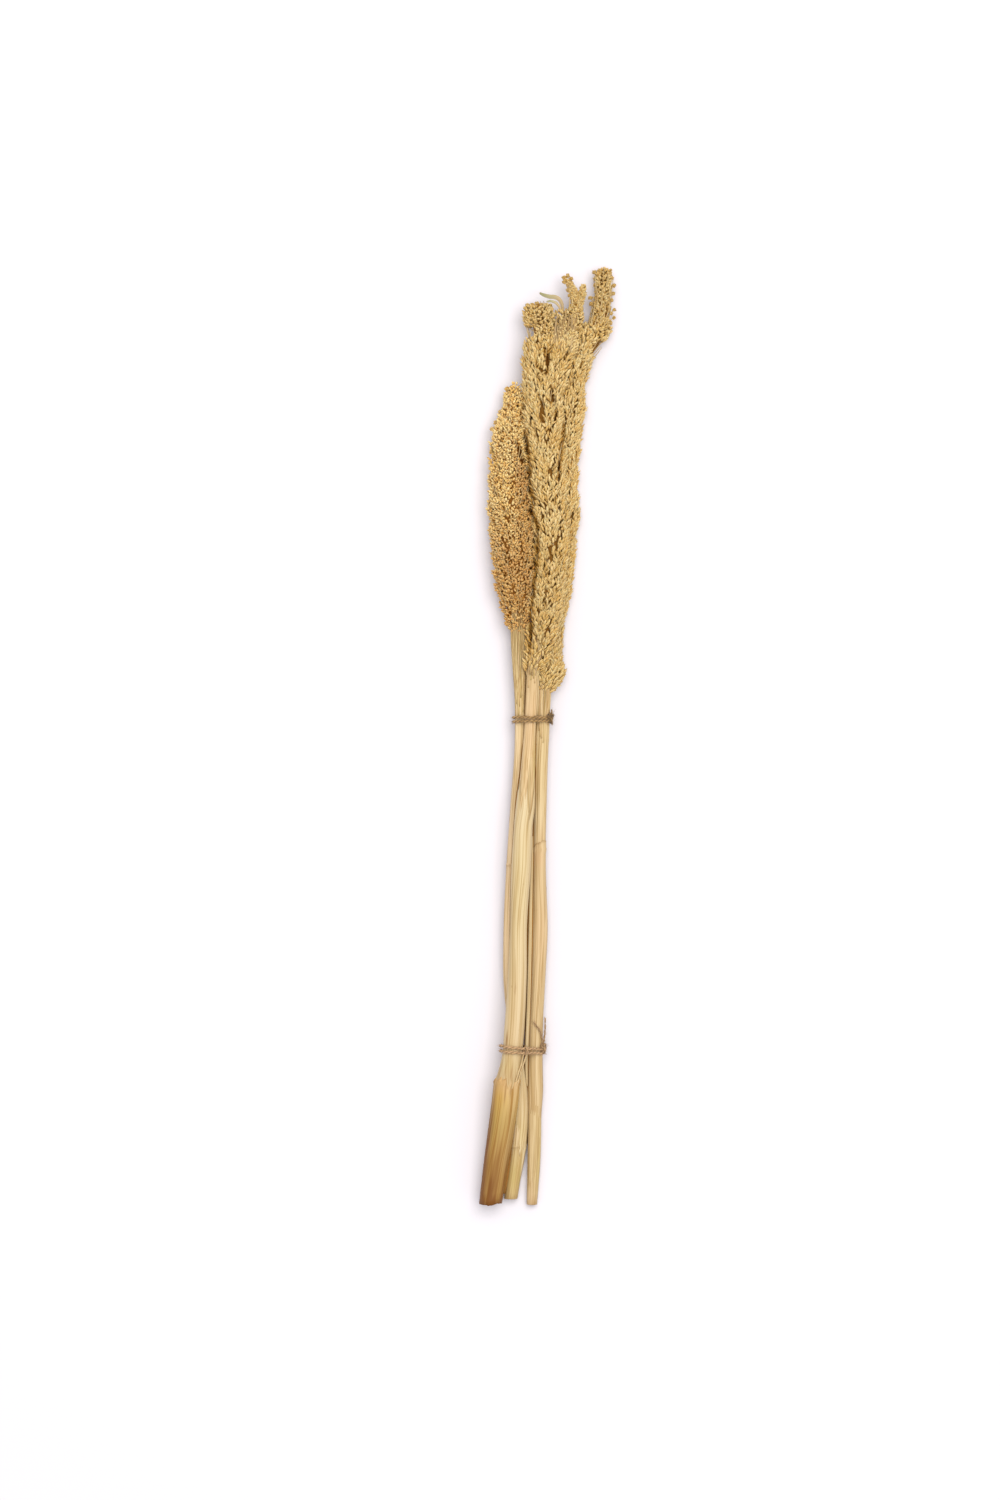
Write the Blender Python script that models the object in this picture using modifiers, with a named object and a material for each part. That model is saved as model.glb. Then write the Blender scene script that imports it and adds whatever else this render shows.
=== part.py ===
"""A bunch of dried cantal grass, tied twice with twine and lying flat.

Three dry stems lie close together, and each carries a dense seed head. Leaf sheaths still wrap parts of
the stems, and one of them is brown at its base. The two twine ties hold the bunch.

Frame: metres, +X to the right, +Y from the cut ends to the heads, +Z up, and the bunch rests on Z = 0.
The tables below are in millimetres from a point near the middle of the bunch. Every stem and head runs
nearly along Y, so its centre line and its size are smooth functions of y.
"""
import math

import bmesh
import bpy
import numpy as np
from mathutils import Matrix, Vector

MM = 0.001
# The middle of the finished bunch in the tables' x and y. An empty there makes it the model's origin.
BOX_CENTRE = (-1.4, 0.4)
GAP = 0.3 * MM
SHEATH_WALL = 0.5 * MM
TWINE_RADIUS = 1.3 * MM
HEAD_FLATNESS = 0.82

# Stems: y, x, z, radius.
STEM_LEFT = [
    (78.0, -22.6, 13.5, 4.2), (51.0, -21.9, 13.2, 3.9), (19.0, -21.4, 12.6, 3.6), (-6.0, -21.6, 12.2, 3.8),
    (-50.0, -24.2, 11.4, 4.4), (-96.0, -27.0, 10.6, 4.5), (-149.0, -29.2, 9.7, 4.5), (-180.0, -29.3, 9.2, 4.5),
    (-234.0, -24.0, 8.2, 4.5), (-252.0, -22.8, 7.6, 4.6), (-270.0, -22.0, 7.0, 4.9), (-290.0, -22.2, 6.6, 5.2),
    (-309.0, -23.2, 6.1, 5.4), (-347.0, -28.3, 4.7, 5.0),
]
STEM_MIDDLE = [
    (48.7, -11.8, 18.4, 4.3), (19.0, -13.1, 17.4, 4.3), (6.0, -13.9, 17.4, 4.3), (-20.0, -15.6, 19.6, 4.7),
    (-34.0, -16.4, 20.8, 5.6), (-50.0, -17.4, 21.7, 6.4), (-66.0, -19.0, 21.7, 6.0), (-96.0, -20.6, 21.4, 6.3),
    (-140.0, -22.5, 20.8, 5.4), (-180.0, -23.6, 20.5, 6.1), (-218.0, -25.9, 20.7, 6.6),
    (-240.0, -27.8, 20.4, 6.5), (-257.0, -30.4, 19.8, 7.4), (-275.0, -32.9, 18.2, 8.2),
    (-293.0, -35.4, 16.0, 8.3), (-320.0, -39.4, 13.4, 7.7), (-349.0, -43.3, 11.8, 7.4),
]
STEM_RIGHT = [
    (33.0, -3.8, 12.3, 4.1), (6.0, -4.1, 12.1, 4.8), (-50.0, -5.6, 10.9, 4.2), (-93.0, -6.7, 10.2, 4.4),
    (-140.0, -6.5, 9.6, 4.6), (-180.0, -8.0, 9.3, 4.3), (-218.0, -9.7, 9.0, 4.0), (-240.0, -10.0, 8.9, 4.1),
    (-279.0, -10.3, 7.2, 4.1), (-317.0, -11.6, 5.2, 3.9), (-351.5, -12.4, 3.55, 3.8),
]
NODE_RINGS = {"stem_left": (-96.0, -308.0), "stem_middle": (-257.0,), "stem_right": (-76.0,)}
RING_RISE = 0.09
RING_HALF_LENGTH = 2.4 * MM
STEM_STEP = 24.0 * MM
TUBE_SIDES_SETTING = 3

# Sheaths: stem, upper and lower y, first and last angle round the stem from +X, and how much further
# the upper edge reaches on the last side than on the first.
SHEATHS = {
    "sheath_left": ("stem_left", -244.0, -306.0, 12.0, 92.0, -30.0),
    "sheath_middle": ("stem_middle", -33.0, -253.0, -5.0, 318.0, 9.0),
    "sheath_base": ("stem_middle", -261.0, -350.5, -30.0, 296.0, -3.0),
    "sheath_right": ("stem_right", -112.0, -297.0, -58.0, 198.0, -16.0),
}
SHEATH_COLUMNS = 15
SHEATH_GAP = 0.45 * MM
SHEATH_FLARE = 0.3 * MM

# Heads: y, x, z, half width to the tips of the florets.
HEAD_LEFT = [
    (78.4, -22.6, 13.5, 4.3), (84.0, -22.9, 13.6, 7.0), (91.9, -23.3, 13.8, 9.2), (103.1, -23.8, 14.0, 12.4),
    (126.4, -25.2, 13.8, 16.4), (155.6, -26.6, 13.8, 17.6), (182.6, -28.6, 13.5, 17.0), (201.4, -29.4, 13.2, 16.5),
    (230.6, -29.4, 12.8, 14.0), (242.0, -27.6, 12.3, 11.5), (253.1, -25.6, 11.8, 9.0), (264.0, -25.2, 11.4, 6.4),
]
HEAD_MIDDLE = [
    (49.0, -11.8, 18.4, 4.3), (58.1, -9.4, 18.6, 6.8), (73.1, -5.6, 19.0, 9.8), (103.1, -1.9, 19.4, 11.3),
    (133.1, 0.4, 19.6, 12.0), (163.1, 0.4, 19.6, 12.8), (193.1, -1.1, 19.6, 12.8), (223.1, -2.6, 19.6, 12.8),
    (253.1, -4.1, 19.6, 13.5), (268.1, -5.2, 19.6, 12.8), (290.6, -5.6, 19.2, 11.8), (303.0, -4.6, 18.8, 9.6),
    (313.0, -6.5, 18.4, 10.4), (321.0, -7.8, 18.2, 8.6), (327.0, -8.2, 18.2, 6.4),
]
HEAD_RIGHT = [
    (33.4, -3.8, 12.3, 4.1), (40.1, -1.6, 11.8, 7.4), (47.6, 1.6, 11.0, 9.6), (58.1, 2.2, 10.0, 8.2),
    (73.1, 4.1, 8.8, 6.6), (101.6, 6.4, 7.6, 7.9), (126.4, 9.0, 7.4, 9.0), (151.9, 10.1, 7.4, 9.4),
    (167.6, 12.0, 7.9, 10.1), (193.1, 10.9, 7.6, 9.5), (232.9, 13.9, 8.2, 10.3), (253.1, 15.4, 8.5, 10.9),
    (268.1, 15.8, 8.5, 9.8), (281.6, 20.9, 8.7, 11.0), (292.0, 27.6, 9.2, 11.6), (301.0, 33.6, 9.4, 11.6),
    (310.0, 37.6, 9.4, 9.6), (318.0, 39.4, 9.4, 7.2), (328.1, 40.5, 9.4, 6.6), (339.4, 41.3, 9.6, 7.2),
    (350.5, 41.6, 9.8, 6.6),
]
SIDE_SPRAY = [
    (256.0, 1.6, 20.0, 6.0), (280.0, 6.4, 19.2, 9.4), (296.0, 11.4, 18.6, 10.4), (309.4, 16.4, 18.0, 8.6),
    (321.0, 20.0, 17.4, 5.4), (328.0, 20.2, 17.0, 4.6), (335.0, 17.4, 16.8, 4.4), (343.5, 14.2, 16.4, 4.2),
]
MIDDLE_BORDER = HEAD_MIDDLE[:8] + SIDE_SPRAY[1:]
SIDE_TWIG = [(320.0, 20.4, 17.0, 3.4), (329.0, 24.4, 16.6, 3.2), (338.5, 26.6, 16.2, 3.0)]

# Florets: how many on each axis, then their length and width.
FLORETS = {
    "head_left": [(HEAD_LEFT, 122, 17.5, 8.0)],
    "head_middle": [(HEAD_MIDDLE, 100, 21.0, 7.4), (SIDE_SPRAY, 26, 14.0, 5.6), (SIDE_TWIG, 5, 8.0, 3.8)],
    "head_right": [(HEAD_RIGHT, 122, 20.0, 7.0)],
}
HEAD_SEEDS = {"head_left": 11, "head_middle": 23, "head_right": 37}
GOLDEN_ANGLE = math.radians(137.508)
CORE_SHARE = 0.73
CORE_TIP_SHARE = 0.35
CORE_SIDES = 8
ROOT_SHARE = 0.6
TIP_SHARE = 1.02
SHORTEST_FLORET = 0.5
FLORET_THICKNESS = 0.75
FLORET_SIDES = 4
FLORET_SHOULDER = 0.25
EVEN_SHARE = 0.3

# Ties: y at the left, y at the right, half the distance between the two turns at each side, and the x
# of the hitch, which lies on the upper side.
TIES = {
    "tie_upper": (13.2, 13.2, 1.75, 0.95, 0.2),
    "tie_lower": (-232.6, -236.2, 1.85, 1.5, -17.6),
}
TIE_SPAN = (-42.0, 4.0)
# Loose ends: x, y, z from the tip to where the end goes into the tie.
LOOSE_ENDS = {
    "tie_upper": [],
    "tie_lower": [
        [(-11.0, -213.5, 15.9), (-7.6, -218.0, 15.5), (-4.5, -222.5, 13.6), (-2.9, -227.5, 11.4), (-3.0, -233.6, 10.3)],
        [(-1.4, -210.2, 9.8), (-2.2, -220.0, 8.8), (-2.7, -227.0, 8.2), (-2.9, -234.0, 8.4)],
    ],
}
LOOSE_END_RADIUS = 1.0 * MM
HULL_STEP = math.radians(20.0)
TWINE_SIDES_SETTING = 1
KNOT_RADIUS = 1.7 * MM
KNOT_TWINE = 1.1 * MM
KNOT_STANDOFF = 1.4 * MM
KNOT_STRETCH = 1.5

COLOURS = {
    "straw": ((0.76, 0.56, 0.27), 0.55),
    "dry_sheath": ((0.79, 0.61, 0.33), 0.6),
    "brown_sheath": ((0.42, 0.24, 0.09), 0.6),
    "tan_seed": ((0.5, 0.3, 0.11), 0.8),
    "pale_seed": ((0.58, 0.37, 0.15), 0.8),
    "jute": ((0.3, 0.2, 0.1), 0.9),
}
MATERIAL_OF = {
    "stem_left": "straw", "stem_middle": "straw", "stem_right": "straw",
    "sheath_left": "dry_sheath", "sheath_middle": "dry_sheath", "sheath_right": "dry_sheath",
    "sheath_base": "brown_sheath", "head_left": "tan_seed", "head_middle": "pale_seed",
    "head_right": "pale_seed", "tie_upper": "jute", "tie_lower": "jute",
}


class Route:
    """A centre line and radius along y, as a smooth curve through a table of stations."""

    def __init__(self, table):
        rows = np.array(sorted(table)) * MM
        self.stations = rows[:, 0]
        self.values = rows[:, 1:]
        self.slopes = np.gradient(self.values, self.stations, axis=0)

    def at(self, y):
        """Gives x, z and radius at y; past an end, x and z run straight on and the radius stays."""
        inside = min(max(y, self.stations[0]), self.stations[-1])
        index = int(np.clip(np.searchsorted(self.stations, inside) - 1, 0, len(self.stations) - 2))
        span = self.stations[index + 1] - self.stations[index]
        t = (inside - self.stations[index]) / span
        start, end = self.values[index], self.values[index + 1]
        start_slope, end_slope = self.slopes[index] * span, self.slopes[index + 1] * span
        value = start * (2 * t**3 - 3 * t**2 + 1) + start_slope * (t**3 - 2 * t**2 + t)
        value = value + end * (3 * t**2 - 2 * t**3) + end_slope * (t**3 - t**2)
        beyond = y - inside
        if beyond:
            slope = self.slopes[0] if beyond < 0 else self.slopes[-1]
            value = value + np.array([slope[0], slope[1], 0.0]) * beyond
        return value


STEMS = {"stem_left": Route(STEM_LEFT), "stem_middle": Route(STEM_MIDDLE), "stem_right": Route(STEM_RIGHT)}


def clear_scene():
    """Removes every object, so that the model starts empty."""
    for item in list(bpy.data.objects):
        bpy.data.objects.remove(item, do_unlink=True)


def new_collection(name):
    """Adds a collection to the scene."""
    collection = bpy.data.collections.new(name)
    bpy.context.scene.collection.children.link(collection)
    return collection


def make_materials():
    """Makes one plain Principled material for each kind of dry matter."""
    materials = {}
    for name, (colour, roughness) in COLOURS.items():
        material = bpy.data.materials.new(name)
        material.use_nodes = True
        shader = material.node_tree.nodes["Principled BSDF"]
        shader.inputs["Base Color"].default_value = (*colour, 1.0)
        shader.inputs["Roughness"].default_value = roughness
        shader.inputs["Metallic"].default_value = 0.0
        materials[name] = material
    return materials


def add_object(name, mesh, collection):
    """Links a new object that holds the mesh."""
    item = bpy.data.objects.new(name, mesh)
    collection.objects.link(item)
    return item


def mesh_of(item):
    """Gives the object's evaluated shape as a mesh of its own."""
    depsgraph = bpy.context.evaluated_depsgraph_get()
    return bpy.data.meshes.new_from_object(item.evaluated_get(depsgraph))


def weld(mesh):
    """Joins the loose caps of a tube to its side."""
    shape = bmesh.new()
    shape.from_mesh(mesh)
    bmesh.ops.remove_doubles(shape, verts=shape.verts, dist=0.01 * MM)
    shape.to_mesh(mesh)
    shape.free()


def tube(name, points, radii, collection, sides_setting, cyclic=False):
    """Makes a tube along the points as a beveled curve, and gives it back as a mesh object."""
    curve = bpy.data.curves.new(name, "CURVE")
    curve.dimensions = "3D"
    curve.bevel_depth = MM
    curve.bevel_resolution = sides_setting
    curve.use_fill_caps = not cyclic
    spline = curve.splines.new("POLY")
    spline.points.add(len(points) - 1)
    for point, place, radius in zip(spline.points, points, radii):
        point.co = (*place, 1.0)
        point.radius = radius / MM
    spline.use_cyclic_u = cyclic
    guide = add_object(name + "_curve", curve, collection)
    mesh = mesh_of(guide)
    weld(mesh)
    item = add_object(name, mesh, collection)
    item.matrix_world = guide.matrix_world
    bpy.data.objects.remove(guide)
    return item


def loft(name, rings, collection):
    """Joins rings of equal point counts into one closed body with flat ends."""
    shape = bmesh.new()
    loops = [[shape.verts.new(point) for point in ring] for ring in rings]
    count = len(loops[0])
    for low, high in zip(loops, loops[1:]):
        for side in range(count):
            after = (side + 1) % count
            shape.faces.new((low[side], low[after], high[after], high[side]))
    shape.faces.new(loops[0])
    shape.faces.new(loops[-1])
    bmesh.ops.triangulate(shape, faces=shape.faces, quad_method="FIXED")
    bmesh.ops.recalc_face_normals(shape, faces=shape.faces)
    mesh = bpy.data.meshes.new(name)
    shape.to_mesh(mesh)
    shape.free()
    return add_object(name, mesh, collection)


def keep_outer_body(mesh):
    """Drops loose scraps and the walls of sealed hollows, and keeps the largest connected body."""
    shape = bmesh.new()
    shape.from_mesh(mesh)
    left = set(shape.faces)
    bodies = []
    while left:
        front = [left.pop()]
        body = set(front)
        while front:
            face = front.pop()
            linked = {other for edge in face.edges for other in edge.link_faces} - body
            body |= linked
            left -= linked
            front.extend(linked)
        bodies.append(body)
    largest = max(bodies, key=lambda faces: sum(face.calc_area() for face in faces))
    scraps = [face for body in bodies if body is not largest for face in body]
    bmesh.ops.delete(shape, geom=scraps, context="FACES")
    bmesh.ops.delete(shape, geom=[vert for vert in shape.verts if not vert.link_faces], context="VERTS")
    shape.to_mesh(mesh)
    shape.free()


def fuse(item, others):
    """Unites the object with every object of a collection, then removes that collection."""
    union = item.modifiers.new("fuse", "BOOLEAN")
    union.operation = "UNION"
    union.operand_type = "COLLECTION"
    union.collection = others
    union.solver = "MANIFOLD"
    mesh = mesh_of(item)
    item.modifiers.clear()
    item.data = mesh
    for other in list(others.objects):
        bpy.data.objects.remove(other)
    bpy.data.collections.remove(others)


def cut(item, cutter):
    """Takes the cutter's space out of the object."""
    difference = item.modifiers.new("cut", "BOOLEAN")
    difference.operation = "DIFFERENCE"
    difference.object = cutter
    difference.solver = "MANIFOLD"
    mesh = mesh_of(item)
    item.modifiers.clear()
    item.data = mesh


def stem_stations(name):
    """Lists the y values of a stem's points: even steps, and more round each node ring."""
    route = STEMS[name]
    bottom, top = route.stations[0], route.stations[-1]
    steps = round((top - bottom) / STEM_STEP)
    stations = list(np.linspace(bottom, top, steps + 1))
    rings = [ring * MM for ring in NODE_RINGS[name]]
    stations = [y for y in stations if all(abs(y - ring) > 2 * RING_HALF_LENGTH for ring in rings)]
    for ring in rings:
        stations += [ring - RING_HALF_LENGTH, ring, ring + RING_HALF_LENGTH]
    return sorted(stations)


def stem_radius(name, y):
    """Gives a stem's radius at y, with the swelling of its node rings."""
    radius = STEMS[name].at(y)[2]
    for ring in NODE_RINGS[name]:
        nearness = abs(y - ring * MM) / RING_HALF_LENGTH
        radius *= 1.0 + RING_RISE * max(0.0, 1.0 - nearness)
    return radius


def make_stem(name, collection):
    """Makes one solid stem, which tapers and swells at its node rings."""
    stations = stem_stations(name)
    points = []
    for y in stations:
        x, z, _ = STEMS[name].at(y)
        points.append((x, y, z))
    radii = [stem_radius(name, y) for y in stations]
    return tube(name, points, radii, collection, TUBE_SIDES_SETTING)


def sheath_point(stem, y, angle, share):
    """Places a point of a sheath: just off the stem, and further off near the sheath's two edges."""
    x, z, _ = STEMS[stem].at(y)
    flare = SHEATH_FLARE * abs(2.0 * share - 1.0) ** 6
    radius = stem_radius(stem, y) + SHEATH_GAP + SHEATH_WALL / 2 + flare
    return (x + radius * math.cos(angle), y, z + radius * math.sin(angle))


def make_sheath(name, collection):
    """Makes one leaf sheath: an open wrap round its stem, given its thickness by Solidify."""
    stem, top, bottom, first, last, slant = SHEATHS[name]
    lowest_edge = (top + min(slant, 0.0)) * MM - GAP
    stations = [y for y in stem_stations(stem) if bottom * MM + GAP < y < lowest_edge]
    shape = bmesh.new()
    rows = []
    for level in [None, *reversed(stations), bottom * MM]:
        verts = []
        for column in range(SHEATH_COLUMNS):
            share = column / (SHEATH_COLUMNS - 1)
            y = (top + slant * share) * MM if level is None else level
            angle = math.radians(first + (last - first) * share)
            verts.append(shape.verts.new(sheath_point(stem, y, angle, share)))
        rows.append(verts)
    for above, below in zip(rows, rows[1:]):
        for column in range(SHEATH_COLUMNS - 1):
            shape.faces.new((above[column], above[column + 1], below[column + 1], below[column]))
    mesh = bpy.data.meshes.new(name)
    shape.to_mesh(mesh)
    shape.free()
    item = add_object(name, mesh, collection)
    wall = item.modifiers.new("wall", "SOLIDIFY")
    wall.thickness = SHEATH_WALL
    wall.offset = 0.0
    return item


def section_point(route, y, angle, share):
    """Gives the point of a head's flattened section at this angle and share of its half width."""
    x, z, half_width = route.at(y)
    reach = share * half_width
    return Vector((x + reach * math.cos(angle), y, z + HEAD_FLATNESS * reach * math.sin(angle)))


def make_core(name, table, collection):
    """Makes the smaller core that a head's florets stand out of."""
    route = Route(table)
    rings = []
    shares = [1.0] + [CORE_SHARE] * (len(table) - 2) + [CORE_TIP_SHARE]
    for y, share in zip(route.stations, shares):
        angles = [math.tau * side / CORE_SIDES for side in range(CORE_SIDES)]
        rings.append([section_point(route, y, angle, share) for angle in angles])
    return loft(name, rings, collection)


def floret_mesh():
    """Makes the one small grain that every floret is a stretched copy of, fattest towards its tip."""
    shape = bmesh.new()
    bmesh.ops.create_uvsphere(shape, u_segments=FLORET_SIDES, v_segments=2, radius=1.0)
    for vertex in shape.verts:
        if abs(vertex.co.z) < 0.5:
            vertex.co.z = FLORET_SHOULDER
    mesh = bpy.data.meshes.new("floret")
    shape.to_mesh(mesh)
    shape.free()
    return mesh


def spread_stations(route, count, length):
    """Spreads the florets' root stations by girth, and a little closer where the head is thin."""
    top = route.stations[-1] - 0.75 * length
    samples = np.linspace(route.stations[0], top, 200)
    girth = np.array([route.at(y)[2] for y in samples])
    total = np.cumsum(girth + EVEN_SHARE * girth.max())
    wanted = (np.arange(count) + 0.5) / count * total[-1]
    return np.interp(wanted, total, samples)


def floret_place(route, y, angle, length, width):
    """Gives the matrix that lays a floret from its root inside the core to its tip at the outline."""
    root = section_point(route, y, angle, ROOT_SHARE)
    tip = section_point(route, y + length, angle, TIP_SHARE)
    along = (tip - root).normalized()
    outward = Vector((math.cos(angle), 0.0, math.sin(angle)))
    across = along.cross(outward).normalized()
    thick = along.cross(across)
    turn = Matrix((across, thick, along)).transposed().to_4x4()
    size = Matrix.Diagonal((width / 2, FLORET_THICKNESS * width / 2, (tip - root).length / 2, 1.0))
    return Matrix.Translation((root + tip) / 2) @ turn @ size


def add_florets(name, mesh, others):
    """Sets a head's florets round its axes, each a golden angle on from the last."""
    rng = np.random.default_rng(HEAD_SEEDS[name])
    for table, count, length, width in FLORETS[name]:
        route = Route(table)
        for index, y in enumerate(spread_stations(route, count, length * MM)):
            angle = index * GOLDEN_ANGLE + rng.uniform(-0.2, 0.2)
            size = rng.uniform(0.85, 1.15)
            from_base = (y - route.stations[0]) / (length * MM)
            reach = length * size * min(1.0, SHORTEST_FLORET + from_base / 2)
            floret = add_object("floret", mesh, others)
            floret.matrix_world = floret_place(route, y, angle, reach * MM, width * size * MM)


def make_head(name, collection):
    """Makes one seed head: its core and its florets, fused into one body."""
    others = new_collection(name + "_florets")
    tables = [row[0] for row in FLORETS[name]]
    head = make_core(name, tables[0], collection)
    for number, table in enumerate(tables[1:]):
        make_core(f"{name}_spray_{number}", table, others)
    mesh = floret_mesh()
    add_florets(name, mesh, others)
    fuse(head, others)
    return head


def make_divider(name, first, second, side, cutters):
    """Makes the space on one side of the surface where two heads press on each other.

    At each station that surface is a straight line across the line of centres, which it meets where
    the two heads' half widths share the distance. The space starts half a gap before it, so the two
    heads are left a gap apart.
    """
    routes = (Route(first), Route(second))
    bottom = max(route.stations[0] for route in routes) - 40.0 * MM
    top = min(route.stations[-1] for route in routes) + 40.0 * MM
    rings = []
    for y in np.linspace(bottom, top, 28):
        values = [route.at(y) for route in routes]
        centres = [Vector((value[0], y, value[1])) for value in values]
        across = (centres[1] - centres[0]).normalized()
        share = values[0][2] / (values[0][2] + values[1][2])
        middle = centres[0].lerp(centres[1], share)
        along = Vector((-across.z, 0.0, across.x))
        near = middle - across * side * GAP / 2
        far = middle + across * side * 120.0 * MM
        reach = along * 60.0 * MM
        rings.append([near - reach, near + reach, far + reach, far - reach])
    divider = loft(name, rings, cutters)
    divider.hide_render = True
    divider.display_type = "WIRE"
    return divider


def make_floor(cutters):
    """Makes the block under the bunch, which presses its lowest parts flat."""
    bpy.ops.mesh.primitive_cube_add(size=1.0)
    floor = bpy.context.active_object
    floor.name = "floor"
    floor.matrix_world = Matrix.Translation((0.0, 0.0, -0.05)) @ Matrix.Diagonal((0.4, 1.0, 0.1, 1.0))
    for collection in list(floor.users_collection):
        collection.objects.unlink(floor)
    cutters.objects.link(floor)
    floor.hide_render = True
    floor.display_type = "WIRE"
    return floor


def outer_radius(name, y):
    """Gives a stem's radius at y with the sheath that covers it there."""
    radius = stem_radius(name, y)
    for stem, top, bottom, _, _, slant in SHEATHS.values():
        if stem == name and bottom * MM <= y <= (top + max(slant, 0.0)) * MM:
            radius += SHEATH_GAP + SHEATH_WALL + SHEATH_FLARE
    return radius


def convex_hull(points):
    """Gives the points of the plane's convex hull, in order."""
    ordered = sorted(points)

    def chain(sequence):
        line = []
        for point in sequence:
            while len(line) > 1:
                (ax, az), (bx, bz) = line[-2:]
                if (bx - ax) * (point[1] - az) - (bz - az) * (point[0] - ax) > 1e-12:
                    break
                line.pop()
            line.append(point)
        return line[:-1]

    return chain(ordered) + chain(reversed(ordered))


def hull_loop(y):
    """Gives the closed route of a twine turn, pulled tight round the stems at y."""
    reach = TWINE_RADIUS + 1.3 * GAP
    points = []
    for name, route in STEMS.items():
        x, z, _ = route.at(y)
        radius = outer_radius(name, y) + reach
        for step in range(round(math.tau / HULL_STEP)):
            angle = step * HULL_STEP
            points.append((x + radius * math.cos(angle), z + radius * math.sin(angle)))
    return convex_hull(points)


def tie_turn(name, number, collection):
    """Makes one of the two turns of a tie."""
    left_y, right_y, left_spread, right_spread, _ = TIES[name]
    side = 1 if number == 0 else -1
    points = []
    for x, z in hull_loop((left_y + right_y) / 2 * MM):
        across = (x / MM - TIE_SPAN[0]) / (TIE_SPAN[1] - TIE_SPAN[0])
        y = left_y + (right_y - left_y) * across
        spread = left_spread + (right_spread - left_spread) * across
        points.append((x, (y + side * spread) * MM, z))
    return tube(f"{name}_turn_{number}", points, [TWINE_RADIUS] * len(points), collection,
                TWINE_SIDES_SETTING, cyclic=True)


def loose_end(name, places, collection):
    """Makes a loose end of twine, which runs from its tip into the tie."""
    points = [tuple(value * MM for value in place) for place in places]
    return tube(name, points, [LOOSE_END_RADIUS] * len(points), collection, TWINE_SIDES_SETTING)


def make_knot(name, collection):
    """Makes the hitch that holds the two turns together, a small ring of twine round both of them."""
    left_y, right_y, _, _, knot_x = TIES[name]
    across = (knot_x - TIE_SPAN[0]) / (TIE_SPAN[1] - TIE_SPAN[0])
    y = (left_y + (right_y - left_y) * across) * MM
    route = hull_loop(y)
    spot, normal = None, None
    for (ax, az), (bx, bz) in zip(route, route[1:] + route[:1]):
        if bx < knot_x * MM <= ax:
            share = (ax - knot_x * MM) / (ax - bx)
            spot = Vector((knot_x * MM, y, az + (bz - az) * share))
            normal = Vector((bz - az, 0.0, ax - bx)).normalized()
    bpy.ops.mesh.primitive_torus_add(major_segments=10, minor_segments=6, major_radius=KNOT_RADIUS,
                                     minor_radius=KNOT_TWINE)
    knot = bpy.context.active_object
    knot.name = name + "_knot"
    for owner in list(knot.users_collection):
        owner.objects.unlink(knot)
    collection.objects.link(knot)
    sideways = Vector((0.0, 1.0, 0.0))
    turn = Matrix((normal, sideways, normal.cross(sideways))).transposed().to_4x4()
    place = Matrix.Translation(spot + normal * KNOT_STANDOFF)
    knot.matrix_world = place @ turn @ Matrix.Diagonal((1.0, KNOT_STRETCH, 1.0, 1.0))
    return knot


def make_tie(name, collection):
    """Makes one tie: two tight turns of twine, a hitch and its loose ends, fused into one body."""
    others = new_collection(name + "_twine")
    tie = tie_turn(name, 0, collection)
    tie.name = name
    tie_turn(name, 1, others)
    make_knot(name, others)
    for number, places in enumerate(LOOSE_ENDS[name]):
        loose_end(f"{name}_end_{number}", places, others)
    fuse(tie, others)
    return tie


def main():
    """Builds the bunch."""
    clear_scene()
    bunch = new_collection("dried_cantal_grass")
    cutters = new_collection("cutters")
    materials = make_materials()
    pieces = {name: make_stem(name, bunch) for name in STEMS}
    for name in SHEATHS:
        pieces[name] = make_sheath(name, bunch)
    for name in FLORETS:
        pieces[name] = make_head(name, bunch)
    for name in TIES:
        pieces[name] = make_tie(name, bunch)
    floor = make_floor(cutters)
    dividers = [
        ("head_left", make_divider("right_of_left_head", HEAD_LEFT, HEAD_MIDDLE, 1, cutters)),
        ("head_middle", make_divider("left_of_middle_head", HEAD_LEFT, HEAD_MIDDLE, -1, cutters)),
        ("head_middle", make_divider("right_of_middle_head", MIDDLE_BORDER, HEAD_RIGHT, 1, cutters)),
        ("head_right", make_divider("left_of_right_head", MIDDLE_BORDER, HEAD_RIGHT, -1, cutters)),
    ]
    for name, divider in dividers:
        cut(pieces[name], divider)
    for name in ("head_left", "head_right", "stem_left", "stem_right"):
        cut(pieces[name], floor)
    for name in list(FLORETS) + list(TIES):
        keep_outer_body(pieces[name].data)
    origin = bpy.data.objects.new("bunch_middle", None)
    bunch.objects.link(origin)
    origin.location = (-BOX_CENTRE[0] * MM, -BOX_CENTRE[1] * MM, 0.0)
    for name, piece in pieces.items():
        piece.parent = origin
        piece.data.materials.clear()
        piece.data.materials.append(materials[MATERIAL_OF[name]])
        if name not in FLORETS:
            piece.data.shade_smooth()
            piece.data.set_sharp_from_angle(angle=math.radians(50.0))
        triangles = sum(len(face.vertices) - 2 for face in piece.data.polygons)
        print(name, triangles, "triangles")


main()
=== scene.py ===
# %% [markdown]
# # A tied bunch of dried cantal grass
# This notebook dresses a plain solid model of a bunch of dried grass that lies on a table. The solid
# model, called the frame, has the true sizes. It comes in first and is never moved: every finer piece
# made below is laid over the solid that it stands for. Its box is kept, so that the sizes of the two
# models can be compared at the end.

# %% Load the frame
import math

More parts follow.
